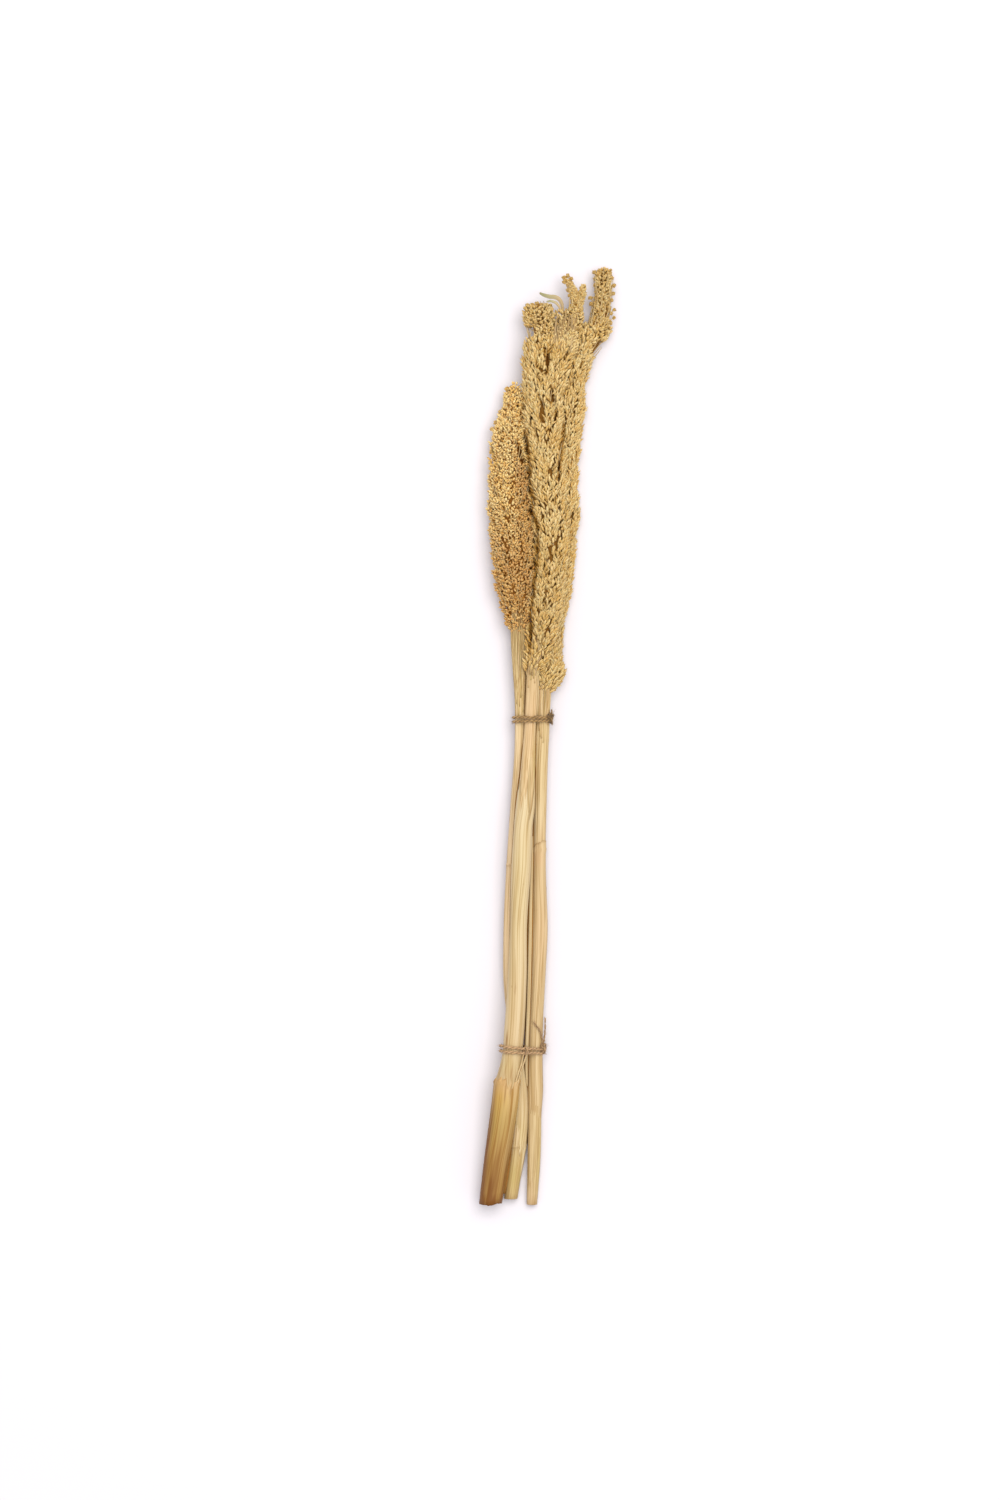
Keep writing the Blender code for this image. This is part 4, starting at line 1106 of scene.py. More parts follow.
def core_surface(table):
    """A rough inner core: 0.66 of the section with small waves, drawn in to the axis at both ends."""
    first, last = ends_of(table)
    rows = int((last - first) / CORE_ROW_STEP) + 4
    t = np.linspace(0.0, 1.0, rows)[:, None]
    angle = np.arange(CORE_COLUMNS) * math.tau / CORE_COLUMNS
    y = first + (last - first) * t
    close = np.sqrt(np.clip(t * 30, 0, 1)) * np.sqrt(np.clip((1 - t) * 12, 0, 1))
    waves = 0.08 * np.sin(5 * angle + y / (3 * MM)) + 0.06 * np.sin(3 * angle - y / (5 * MM))
    return section_point(table, y + 0 * angle, angle + 0 * y, CORE_SHARE * close * (1 + waves) + 0.02)


print("rings of the left head's core:", len(core_surface(HEAD_LEFT)))

# %% The lines where heads and ears part
# Each line is a list of places, x and y in mm. From above they are narrow, dark brown gaps: no husk on the
# upper side has its middle on one, the core shows between the husks, and the core and the husks beside the
# line are painted dark brown as the shade in the gap.
LONG_SLITS = [
    [(-17.6, 229.1), (-13.9, 205.1), (-14.4, 187.1), (-10.9, 177.4), (-13.4, 168.3), (-8.4, 159.4),
     (-8.6, 135.7), (-12.6, 97.1), (-13.9, 67.1)],
    [(-1.1, 289.0), (-0.6, 280.0), (-1.3, 272.0)], [(11.6, 234.4), (9.0, 214.0), (7.1, 193.1)],
    [(-23.6, 219.6), (-19.9, 205.6)], [(2.4, 262.0), (1.6, 250.0)], [(-4.6, 250.0), (-5.4, 236.0)],
]
LINE_ROWS = np.array([(*a, *b) for line in LONG_SLITS for a, b in zip(line, line[1:])]) * MM
LINE_ROOM = 1.3 * MM
LINE_WIDTH = 1.6


def to_segment(points, row):
    """Gives each point's distance from one segment, seen from above."""
    run = row[2:] - row[:2]
    away = points[:, :2] - row[:2]
    t = np.clip(away @ run / (run @ run), 0, 1)
    return np.linalg.norm(away - t[:, None] * run, axis=1)


def on_lines(points):
    """Is true for points nearer to a line than a room that swells and shrinks along it like beads."""
    room = LINE_ROOM * (0.85 + 0.25 * np.sin(points[:, 1] / (0.7 * MM)))
    return np.min([to_segment(points, row) for row in LINE_ROWS], axis=0) < room


print("parting lines:", len(LONG_SLITS), "in", len(LINE_ROWS), "segments")

# %% The husks of one head
# From the first of these shares of the head's section to the second, a husk's depth, which paints it
# darker as shade inside the head, goes from 1 to 0.
DEPTH_SHARES = (0.45, 0.82)
# Husks further in than this share of another head's section are left out.
HIDDEN_SHARE = 0.66
TABLE_ROOM = 0.5 * MM


def end_to_end(sets):
    """Joins sets of husks, each a list of arrays."""
    return [np.concatenate(group) for group in zip(*sets)]


def head_husks(head, axes, seed):
    """Collects the husks of a head, less those under the table or inside another head, with their depth."""
    cluster_rng, rng = np.random.default_rng(seed), np.random.default_rng(seed + 100)
    others = [table for other, (rows, _) in HEADS.items() if other != head for table, *_ in rows]
    areas = [sum(row[3] for row in table) / len(table) * (max(table)[0] - min(table)[0])
             for table, *_ in axes]
    sets, lobes_list = [], []
    for table, count in CROWN_SPRAYS if head == "middle" else ():
        spray = carpet_husks(head, table, count, rng)
        middle = spray[0] + spray[1] * 2 * MM
        depth = 0.6 - 0.6 * smooth(*DEPTH_SHARES, inside_share(table, middle))
        keep = ~bitten(middle)
        sets.append([value[keep] for value in (*spray, depth)])
    for (table, count, length, width), area in zip(axes, areas):
        lobes = clusters(table, count, length, width, cluster_rng)
        lobes_list.append(lobes)
        carpet = carpet_husks(head, table, int(HUSKS[head][3] * area / sum(areas)), rng)
        foot, direction, *rest = end_to_end([ear_husks(head, lobes, rng), carpet])
        foot = slimmed(head, table, foot)
        middle = foot + direction * rest[1][:, None] / 2
        hidden = np.min([inside_share(other, middle) for other in others], axis=0)
        crown = smooth(*CROWN, middle[:, 1]) * (head != "left")
        depth = (1 - smooth(*DEPTH_SHARES, inside_share(table, middle))) * (1 - 0.5 * crown)
        on_top = middle[:, 2] > route_at(table, middle[:, 1])[:, 1]
        keep = (middle[:, 2] > TABLE_ROOM) & (hidden > HIDDEN_SHARE) & ~bitten(middle)
        keep = keep & ~(on_top & on_lines(middle))
        sets.append([value[keep] for value in (foot, direction, *rest, depth)])
    knobs = knob_husks(head, rng)
    sets.append([*knobs, np.full(len(knobs[0]), 0.4)])
    return end_to_end(sets), lobes_list, rng


print("husks under z", TABLE_ROOM / MM, "mm or within", HIDDEN_SHARE, "of another head are left out")


# %% Husks in their places, and their age
def husk_points(husks):
    """Moves the husk's shape to every place: foot + across x w + outer y w + direction z l."""
    foot, direction, outer, length, width, _ = husks
    across = np.cross(outer, direction)
    wide = across[:, None] * HUSK[:, :1] + outer[:, None] * HUSK[:, 1:2]
    along = direction[:, None] * (HUSK[:, 2:] * length[:, None, None])
    return foot[:, None] + wide * width[:, None, None] + along


def head_age(head, place):
    """Browns the left head towards its foot and along its right side, and the others only a little."""
    x, y = place[:, 0] / MM, place[:, 1] / MM
    low = 1 - smooth(120.0, 185.0, y)
    crown = smooth(296.0, 312.0, y)
    if head == "left":
        return np.maximum(0.75 * low, 0.8 * smooth(-30.0, -20.0, x) * (1 - smooth(195.0, 215.0, y)))
    return 0.2 * low + 0.25 * crown


print("age on the left head at y 100 and 230:", head_age("left", np.array([(-25, 100), (-33, 230)]) * MM))

# %% [markdown]
# ## Slits between the ears
# Ears and branchlets lie close, but not shut: short dark slits stay open between them all over a head.
# They could be cut out of the mesh. Here a slit is a short segment seen from above, and the husks near it
# are sunk by 2.2 mm and get a field that turns them dark brown, as painted shade for the gap, which keeps
# every husk closed.

# %% Places of the slits
# Each head: how many short slits it has, and their longest length in mm.
SHORT_SLITS = {"left": (170, 1.6), "middle": (24, 8.0), "right": (24, 8.0)}
SLIT_WIDTH = 0.75 * MM
SLIT_SINK = 2.2 * MM


def slits(head, rng):
    """Lists segments as x, y, x, y, the long lines and chance short ones, and how wide each is."""
    count, longest = SHORT_SLITS[head]
    table = HEADS[head][0][0][0]
    y = rng.uniform(min(table)[0] + 12, max(table)[0] - 12, count)
    x, _, half_width = route_at(table, y * MM).T / MM
    place = rng.uniform(-0.9, 0.9, count)
    length = longest * rng.uniform(0.35, 1.0, count)
    start = np.stack([x + place * half_width, y], -1)
    step = np.stack([0.16 * place * length + rng.normal(0, 0.3, count), length], -1)
    segments = np.concatenate([LINE_ROWS, np.concatenate([start, start + step], axis=1) * MM])
    return segments, np.concatenate([np.full(len(LINE_ROWS), LINE_WIDTH), rng.uniform(0.45, 0.9, count)])


def slit_depth(segments, widths, points):
    """Gives 1 on a slit's line and less beside it: a bell of the distance from above, jagged by waves."""
    depth = np.zeros(len(points))
    x, y = points[:, 0], points[:, 1]
    jagged = x + 0.5 * MM * np.sin(y / (0.9 * MM)) + 0.4 * MM * np.sin(y / (2.3 * MM) + x / MM)
    strength = 0.75 + 0.25 * np.sin(y / (0.45 * MM) + x / (0.8 * MM))
    for row, width in zip(segments, widths):
        depth = np.maximum(depth, bell(to_segment(np.column_stack([jagged, y]), row), SLIT_WIDTH * width))
    return depth * strength


print("short slits:", {head: row[0] for head, row in SHORT_SLITS.items()})

# %% Drifts of tone, and a head's bodies
# The core has one value of each field all over; its depth of 1.5 paints it dark brown, as the shade
# inside the head. This share of the husks is old and brown.
HEAD_FIELDS = ("depth", "tone", "way", "keel", "age")
CORE_LOOK = (1.5, 0.3, 0.5, 1.0, 0.5)
OLD_HUSKS = 0.06


def patchy(seed, points):
    """Sums four long waves of x and y with chance phases: slow drifts of tone between -1 and 1."""
    rng = np.random.default_rng(seed)
    total = np.zeros(len(points))
    for length in (34.0, 23.0, 15.0, 11.0):
        turn = rng.uniform(0, math.tau)
        way = points[:, 0] * math.cos(turn) + 0.5 * points[:, 1] * math.sin(turn)
        total = total + np.sin(way * math.tau / (length * MM) + rng.uniform(0, math.tau)) / 4
    return total


def husk_bodies(head, axes, husks, drift, rng):
    """Lists a head's bodies: all its husks as one, with a tone and an age each, and its axes' cores."""
    foot, depth, count, points_each = husks[0], husks[5], len(husks[0]), len(HUSK)
    tone = np.clip(rng.normal(0.5, 0.28, count) + 0.4 * drift, 0, 1)
    age = head_age(head, foot) * rng.uniform(0.7, 1.2, count) + 0.22 * drift
    age = np.clip(age + (rng.random(count) < OLD_HUSKS) * 0.5, 0, 1)
    depth, tone, age = (np.repeat(values, points_each) for values in (depth, tone, age))
    bodies = [(husk_points(husks).reshape(-1, 3), repeated(HUSK_QUADS, count, points_each),
               repeated(HUSK_FANS, count, points_each), depth, tone, np.tile(HUSK[:, 2], count),
               np.tile(HUSK_KEEL, count), age)]
    for table, *_ in axes:
        core = core_surface(table)
        size = len(core), CORE_COLUMNS
        points = np.concatenate([core.reshape(-1, 3), [core[0].mean(0), core[-1].mean(0)]])
        look = np.outer(CORE_LOOK, np.ones(len(points)))
        bodies.append((points, grid_faces(*size), fan_faces(*size), *look))
    return bodies


print("drift of tone at three places:", np.round(patchy(11, np.array([(0, 0), (0, 20), (0, 40)]) * MM), 2))

# %% Make the heads
LOBES = {}
for head, (axes, seed) in HEADS.items():
    husks, LOBES[head], rng = head_husks(head, axes, seed)
    bodies = husk_bodies(head, axes, husks, patchy(seed, husks[0]), rng)
    points, quads, fans, depth, *look = one_body(bodies)
    cut = slit_depth(*slits(head, rng), points)
    axis_z = route_at(axes[0][0], points[:, 1])[:, 1]
    points[:, 2] -= np.sign(points[:, 2] - axis_z) * SLIT_SINK * cut
    # Husks on a slit get a depth up to 2, which paints them slit brown: painted shade for the gap.
    depth = depth + (2 - depth) * cut
    material, slot = (HUSK_TAN, "tan_seed") if head == "left" else (HUSK_PALE, "pale_seed")
    make_piece("seed_head_" + head, [(points, quads, fans, depth, *look)], HEAD_FIELDS, material, slot,
               "head_" + head)
    print("husks on the", head, "head:", len(husks[0]))

# %% [markdown]
# ## Branches in the heads
# Where a head begins, its lowest branches lie close round the stem as straight straws, and flare out
# with the head. Higher up the stem goes on as a thinning rachis, and each cluster hangs on fine branches
# that leave it at a narrow angle. They are thin tubes, and the knobs hang on stalks of the same kind.

# %% Straws at the foot of each head
# Each head: y where its straws leave the stem, y where they end, and how far they flare, in mm.
STRAWS = {"left": (22.0, 100.0, 5.9), "middle": (46.0, 84.0, 5.0), "right": (4.0, 60.0, 5.6)}
STRAW_COUNT = 27
STRAW_ROWS = 14
STRAW_SIDES = 6
STRAW_SINK = 0.38 * MM
STRAW_SHARE = 0.6


def foot_straws(head, table, rng):
    """Line = the stem's surface, then out to the flare at the stem's top, then 0.6 of the head's width."""
    first, last, flare = STRAWS[head]
    top = STEMS[head][0][0]
    t = np.linspace(0, 1, STRAW_ROWS)
    start = (first + rng.uniform(-9, 9, STRAW_COUNT))[:, None]
    y = (start + (last + rng.uniform(-12, 6, STRAW_COUNT)[:, None] - start) * t) * MM
    angle = (np.arange(STRAW_COUNT) + rng.uniform(-0.25, 0.25, STRAW_COUNT))[:, None]
    angle = angle * math.tau / STRAW_COUNT + 0 * y
    x, z, radius = np.moveaxis(route_at(STEMS[head], np.minimum(y, top * MM)), -1, 0)
    head_x, head_z, half_width = np.moveaxis(route_at(table, np.maximum(y, top * MM)), -1, 0)
    inside = smooth(top * MM, (top + 14) * MM, y)
    x, z = x + (head_x - x) * inside, z + (head_z - z) * inside
    out = radius + (flare * MM - radius) * smooth(first * MM, top * MM, y) - STRAW_SINK
    out = out + (STRAW_SHARE * half_width - out) * smooth(top * MM, last * MM, y)
    lines = np.stack([x + out * np.cos(angle), y, z + out * np.sin(angle)], -1)
    radii = (0.72 - 0.35 * t) * MM * rng.uniform(0.75, 1.15, (STRAW_COUNT, 1))
    most_olive = 1.1 if head == "left" else 0.5
    hue = np.repeat(rng.uniform(-0.9, most_olive, STRAW_COUNT), STRAW_ROWS * STRAW_SIDES + 2)
    return closed_tubes(lines, np.array([0.02, 0.0, 1.0]), radii, STRAW_SIDES), hue


print("straws at the foot of each head:", STRAW_COUNT)


# %% Rachis, fine branches and stalks
def branch_tubes(head):
    """Lists the tubes of a head: the rachis, the branches on to their ears, and the knobs' stalks."""
    axes, _ = HEADS[head]
    sets = []
    for (table, *_), lobes in zip(axes, LOBES[head]):
        first, last = ends_of(table)
        y = np.linspace(first - 2 * MM, last - 6 * MM, 50)
        x, z, _ = route_at(table, y).T
        foot_radius = stem_radius(head, STEMS[head][0][0] * MM) * 0.96 if table is axes[0][0] else 1.1 * MM
        radius = foot_radius + (0.5 * MM - foot_radius) * smooth(0.0, 0.5, (y - y[0]) / (y[-1] - y[0]))
        sets.append(closed_tubes(np.stack([x, y, z], -1)[None], np.array([0.0, 0.0, 1.0]), radius[None], 8))
        root = lobes[0]
        ears = EARS[head][0]
        t = np.broadcast_to(np.linspace(0.02, 0.9, 5), (len(root), ears, 5))
        lines = ear_points(lobes, ear_spread(head), t)[0].reshape(-1, 5, 3)
        start_y = np.maximum(root[:, 1] - 9 * MM, first)
        start_x, start_z, _ = route_at(table, start_y).T
        start = np.repeat(np.stack([start_x, start_y, start_z], -1), ears, axis=0)
        lines = np.concatenate([start[:, None], lines], axis=1)
        radii = np.broadcast_to(np.array([0.55, 0.5, 0.45, 0.4, 0.3, 0.2]) * MM, lines.shape[:2])
        sets.append(closed_tubes(lines, np.array([0.0, 0.02, 1.0]), radii, 4))
    knobs = np.array(KNOBS[head]) * MM
    anchor_y = knobs[:, 1] - 9 * MM
    tables = [table for table, *_ in axes if max(table)[0] * MM > knobs[:, 1].min()]
    anchors = np.stack([np.insert(route_at(table, anchor_y)[:, :2], 1, anchor_y, axis=1)
                        for table in tables])
    nearest = np.linalg.norm(anchors - knobs[:, :3], axis=-1).argmin(axis=0)
    anchor = anchors[nearest, np.arange(len(knobs))]
    lines = anchor[:, None] + (knobs[:, :3] - anchor)[:, None] * np.linspace(0, 1, 4)[:, None]
    sets.append(closed_tubes(lines, np.array([0.0, 0.02, 1.0]), np.full(lines.shape[:2], 0.4 * MM), 4))
    return sets


print("stalks of knobs:", sum(len(rows) for rows in KNOBS.values()))

# %% Make the branches
# Branchlets are young stem: smooth, satin and a little yellower than straw, with finer streaks.
BRANCH = fibre_material("dry_branchlet", "#D8C292", "#C8AC74", "#A27E40", "#765022", 0.9, 30.0, 0.05, 0.58)
for head, (axes, seed) in HEADS.items():
    straws, hue = foot_straws(head, axes[0][0], np.random.default_rng(seed + 200))
    bodies = [fibre_body(tubes, 0.1, 0.0) for tubes in branch_tubes(head)] + [fibre_body(straws, 0.1, hue)]
    make_piece("branches_" + head, bodies, FIBRE_FIELDS, BRANCH, "straw")

# %% [markdown]
# ## Twine
# The ties are two-ply jute twine, about 2.2 mm thick, wound twice round the stems and hitched. What gives
# it away is the twist: plies that wind round each other, with grooves between them that are painted dark
# as shade, and loose fibres that stand off. Each ply is a tube that follows a helix round the twine's own
# line. That line is the shortest loop round the stems: the outline, or convex hull, of their sections.

# %% The tight loop round the stems
TWINE_RADIUS = 1.08 * MM
# Each tie: y at its left and right end, and half the distance between its two turns at each, all in mm.
TIES = {"upper": (13.2, 13.9, 1.9, 1.02), "lower": (-232.2, -236.0, 2.0, 1.3)}
TIE_SPAN = (-42.0, 4.0)
# The stretch of each stem that a sheath covers, as y in mm, and what it adds to the radius.
SHEATHED = {"left": (-306, -244), "middle": (-350.5, -24), "right": (-297, -86)}
SHEATH_ROOM = 1.25 * MM
TWINE_ROOM = 0.25 * MM
TURN_POINTS = 300


def tight_loop(y):
    """Gives the convex hull of the three stems' circles at y as evenly spaced points, starting at -X."""
    angle = np.arange(720) * math.tau / 720
    heading = np.stack([np.cos(angle), np.sin(angle)], -1)
    centres, reach = [], []
    for stem in STEMS:
        x, z, _ = route_at(STEMS[stem], y)
        low, high = SHEATHED[stem]
        covered = SHEATH_ROOM if low * MM <= y <= high * MM else 0.0
        centres.append((x, z))
        reach.append(stem_radius(stem, y) + covered + TWINE_RADIUS + TWINE_ROOM)
    support = np.array(centres) @ heading.T + np.array(reach)[:, None]
    widest = support.argmax(axis=0)
    loop = np.array(centres)[widest] + np.array(reach)[widest, None] * heading
    steps = np.linalg.norm(np.diff(loop, axis=0, append=loop[:1]), axis=1)
    length = np.concatenate([[0.0], np.cumsum(steps)])
    wanted = np.arange(TURN_POINTS) / TURN_POINTS * length[-1]
    closed = np.concatenate([loop, loop[:1]])
    return np.stack([np.interp(wanted, length, closed[:, axis]) for axis in (0, 1)], -1), length[-1]


def turn_line(tie, number):
    """Lays the tight loop at the tie's slant, to one side of it, and gives its points and length."""
    left_y, right_y, left_spread, right_spread = TIES[tie]
    loop, length = tight_loop((left_y + right_y) / 2 * MM)
    across = (loop[:, 0] / MM - TIE_SPAN[0]) / (TIE_SPAN[1] - TIE_SPAN[0])
    side = 1 if number == 0 else -1
    y = left_y + (right_y - left_y) * across + side * (left_spread + (right_spread - left_spread) * across)
    return np.stack([loop[:, 0], y * MM, loop[:, 1]], -1), length


for tie in TIES:
    print("one turn of the", tie, "tie is", round(turn_line(tie, 0)[1] / MM), "mm long")

# %% Plies and fibres
PLIES = 2
PLY_OFFSET = 0.46
PLY_RADIUS = 0.56
PLY_SIDES = 9
PITCH = 7.0 * MM
HAIRS_PER_MM = 2.2


def plies(line, reference, radius, turns, closed):
    """Winds the plies: each centre is the line plus 0.46 r on a helix, and its own radius is 0.56 r."""
    rows = len(line)
    way = np.arange(rows) / (rows if closed else rows - 1)
    spine = np.broadcast_to(line, (PLIES, rows, 3))
    turn = rings(spine, reference, np.ones((PLIES, rows)), 4, closed) - spine[:, :, None]
    normal, side = turn[:, :, 0], turn[:, :, 1]
    angle = way * turns * math.tau + np.arange(PLIES)[:, None] * math.tau / PLIES
    helix = normal * np.cos(angle)[..., None] + side * np.sin(angle)[..., None]
    centres = spine + helix * PLY_OFFSET * radius
    return centres, np.full((PLIES, rows), PLY_RADIUS * radius), way


def hairs(line, radius, count, rng):
    """Sets loose fibres on the twine: thin curved spikes that leave it almost along its length."""
    place = rng.integers(1, len(line) - 1, count)
    tangent = unit(line[place + 1] - line[place - 1])
    away = rng.normal(size=(count, 3))
    away = unit(away - tangent * np.sum(away * tangent, -1, keepdims=True))
    sign = np.where(rng.random(count) < 0.5, -1.0, 1.0)[:, None]
    length = rng.uniform(1.2, 3.6, count)[:, None, None] * MM
    t = np.linspace(0.0, 1.0, 4)[None, :, None]
    lift = rng.uniform(0.2, 0.7, count)[:, None, None]
    lines = (line[place] + away * radius * 0.85)[:, None] + length * (
        (tangent * sign)[:, None] * t + away[:, None] * lift * t ** 1.6)
    radii = np.broadcast_to(np.array([0.09, 0.08, 0.06, 0.03]) * MM, (count, 4))
    return closed_tubes(lines, np.array([0.3, 0.2, 0.9]), radii, 3)


print("plies:", PLIES, "with", PLY_SIDES, "sides each, and", HAIRS_PER_MM, "loose fibres on each mm")

# %% A length of twine
# Jute is a rough bast fibre: dull, brown and hairy, with a faint sheen on its longest fibres. The lower
# tie is drawn paler: its pinkish hue is full, and its age and the painted shade of its grooves are less
# dark.
JUTE = fibre_material("jute_twine", "#BE9A66", "#9C7844", "#6C4E26", "#3E2C16", 0.45, 2.4, 0.15, 0.85, 0.2)
TIE_SHADES = {"upper": 1.0, "lower": 0.6}
TIE_HUES = {"upper": 0.0, "lower": -1.0}


def twine(tie, line, reference, thickness, closed, rng, dirt=0.0):
    """Makes two bodies: the plies, as closed rings or with closed ends, and the loose fibres on them."""
    radius = thickness * TWINE_RADIUS
    length = np.linalg.norm(np.diff(line, axis=0), axis=1).sum()
    turns = max(1, round(length / PITCH))
    centres, radii, way = plies(line, np.array(reference), radius, turns, closed)
    rows = len(line)
    spine = np.repeat(line, PLY_SIDES, axis=0)
    if closed:
        points = rings(centres, np.array(reference), radii, PLY_SIDES, True).reshape(-1, 3)
        quads = repeated(grid_faces(rows, PLY_SIDES, wrap_rows=True), PLIES, rows * PLY_SIDES)
        fans = NO_FACES
        poles = 0
    else:
        points, quads, fans = closed_tubes(centres, np.array(reference), radii, PLY_SIDES)
        spine = np.concatenate([spine, line[:1], line[-1:]])
        poles = 2
    distance = np.linalg.norm(points - np.tile(spine, (PLIES, 1)), axis=1) / radius
    # Points nearer the line than 0.85 of the radius lie in the grooves between plies, darkened as painted
    # shade.
    age = dirt + 0.85 * (1 - smooth(0.35, 0.85, distance))
    place = np.concatenate([np.repeat(way, PLY_SIDES), np.zeros(poles)])
    around = np.concatenate([np.tile(np.arange(PLY_SIDES), rows), np.zeros(poles)]) / PLY_SIDES * 3.0
    grain = np.stack([np.tile(around, PLIES), np.tile(place * length / MM, PLIES),
                      np.repeat(np.arange(PLIES), len(place)) * 7.0], -1)
    fibres = hairs(line, radius, int(length / MM * HAIRS_PER_MM), rng)
    return [(points, quads, fans, grain, age * TIE_SHADES[tie], np.full(len(points), TIE_HUES[tie])),
            fibre_body(fibres, 0.0, TIE_HUES[tie])]


print("twine material:", JUTE.name)

# %% Knots and loose ends
# Each tie: the knot's centre and its half sizes along x, y and z in mm, and where its loose ends run.
KNOTS = {"upper": ((1.4, 15.0, 16.6), (1.8, 3.9, 1.7)), "lower": ((-3.7, -232.8, 12.8), (1.6, 3.5, 1.7))}
LOOSE_ENDS = {
    "upper": [
        [(1.2, 17.2, 17.4), (2.4, 19.2, 17.8), (2.2, 21.0, 17.2)],
        [(0.8, 12.6, 17.6), (2.4, 11.2, 17.2), (2.8, 9.6, 16.0)],
    ],
    "lower": [
        [(-11.0, -213.5, 15.9), (-7.6, -218.0, 15.5), (-5.4, -222.5, 14.4), (-4.3, -227.5, 13.4),
         (-4.0, -232.6, 13.0)],
        [(-2.4, -210.4, 10.4), (-2.6, -220.0, 10.8), (-3.2, -226.5, 11.6), (-3.8, -232.0, 12.4)],
    ],
}
# The tie with a hitch on its upper side, and the x of the hitch in mm.
HITCH = ("lower", -17.6)
HITCH_RADIUS = 1.6 * MM


def knot_line(tie):
    """Trefoil: x = sin t + 2 sin 2t, y = cos t - 2 cos 2t, z = -3 sin 3t, scaled to the knot's size."""
    centre, half = KNOTS[tie]
    t = np.arange(90) * math.tau / 90
    x, y = np.sin(t) + 2 * np.sin(2 * t), np.cos(t) - 2 * np.cos(2 * t)
    curve = np.stack([x, y, -3 * np.sin(3 * t)], -1) / 3
    return (np.array(centre) + curve * np.array(half)) * MM


def hitch_line(tie, x):
    """Gives the hitch: an ellipse round both turns, across the loop, where it passes this x on top."""
    left_y, right_y, _, _ = TIES[tie]
    y = (left_y + (right_y - left_y) * (x - TIE_SPAN[0]) / (TIE_SPAN[1] - TIE_SPAN[0])) * MM
    loop, _ = tight_loop((left_y + right_y) / 2 * MM)
    upper = loop[:, 1] > loop[:, 1].mean()
    index = np.where(upper, np.abs(loop[:, 0] - x * MM), 9.0).argmin()
    tangent = unit(loop[(index + 1) % len(loop)] - loop[index - 1])
    normal = np.array([tangent[1], 0.0, -tangent[0]])
    angle = np.arange(48) * math.tau / 48
    wide = np.array([0.0, 1.7, 0.0])
    spot = np.array([loop[index, 0], y, loop[index, 1]]) + normal * 0.4 * MM
    return spot + HITCH_RADIUS * (np.cos(angle)[:, None] * normal + np.sin(angle)[:, None] * wide)


def smooth_line(places, count):
    """Runs a Catmull-Rom curve through the places, as count points."""
    places = np.array(places) * MM
    padded = np.concatenate([[2 * places[0] - places[1]], places, [2 * places[-1] - places[-2]]])
    where = np.linspace(0, len(places) - 1.0001, count)
    index = where.astype(int)
    t = (where - index)[:, None]
    a, b, c, d = (padded[index + shift] for shift in range(4))
    return 0.5 * (2 * b + (c - a) * t + (2 * a - 5 * b + 4 * c - d) * t**2 + (3 * b - a - 3 * c + d) * t**3)


print("loose ends:", {tie: len(ends) for tie, ends in LOOSE_ENDS.items()})

# %% The two ties
for number, tie in enumerate(TIES):
    rng = np.random.default_rng(71 + number)
    bodies = []
    for turn in (0, 1):
        bodies += twine(tie, turn_line(tie, turn)[0], (0.0, 1.0, 0.0), 1.0, True, rng)
    bodies += twine(tie, knot_line(tie), (0.1, 0.2, 1.0), 1.1, True, rng, 0.5)
    if tie == HITCH[0]:
        bodies += twine(tie, hitch_line(*HITCH), (0.9, 0.0, 0.2), 0.8, True, rng, 0.3)
    for places in LOOSE_ENDS[tie]:
        bodies += twine(tie, smooth_line(places, 60), (0.3, 0.0, 1.0), 0.55, False, rng, 0.3)
    make_piece("twine_" + tie, bodies, FIBRE_FIELDS, JUTE, "jute", "tie_" + tie)

# %% [markdown]
# ## Torn strips
# Handling splits the dry sheaths. Narrow pale strips stay caught between the stems and under the twine,
# and dark brown scraps of old leaf lie in the grooves between the stems as painted shade: they draw the
# grooves' shade as dark lines.
# A strip is a ribbon: a centre line, a width that tapers to both ends, and a slightly cupped section. It
# has a real thickness, so it can be seen from any side. The curled leaf at the tip is made the same way.
# Two strands below the lower tie are too narrow for that, and are thin tubes.


# %% Ribbons
def ribbon(places, half_width, thickness, rows=48, columns=7):
    """Section: x from side to side, lifted by a cup of x squared; the width tapers as sin of the way."""
    line = smooth_line(places, rows)
    tangent = unit(np.gradient(line, axis=0))
    side = unit(np.cross(tangent, [0.0, 0.0, 1.0]))
    up = np.cross(side, tangent)
    way = np.linspace(0, 1, rows)[:, None]
    taper = np.sin(math.pi * (way * 0.94 + 0.03)) ** 0.4
    place = np.linspace(-1, 1, columns)[None]
    faces = []
    for lift, order in ((thickness / 2, slice(None)), (-thickness / 2, slice(None, None, -1))):
        reach = (half_width * MM * taper * place)[..., None] * side[:, None]
        height = lift * MM * np.sqrt(1.02 - place ** 2) * taper - 0.3 * half_width * MM * place ** 2
        faces.append((line[:, None] + reach + height[..., None] * up[:, None])[:, order])
    around = both_faces(place * half_width + 0 * way)
    grain = np.stack([around, both_faces(line[:, 1:2] / MM + 0 * place), 0 * around + half_width * 31], -1)
    return np.concatenate(faces, axis=1), grain, both_faces(0.3 * (1 - taper) + 0 * place)


def make_ribbons(name, strips, material, slot, hue=(0.0, 0.0)):
    """Makes one piece of several ribbons with closed edges and ends, with a hue for their start and end."""
    bodies = []
    for places, half_width, thickness in strips:
        points, grain, age = ribbon(places, half_width, thickness)
        rows, columns = points.shape[0], points.shape[1] // 2
        bodies.append((points.reshape(-1, 3), wall_faces(rows, columns), NO_FACES, grain.reshape(-1, 3),
                       np.clip(age, 0, 1).ravel(), np.repeat(np.linspace(*hue, rows), columns * 2)))
    make_piece(name, bodies, FIBRE_FIELDS, material, slot)


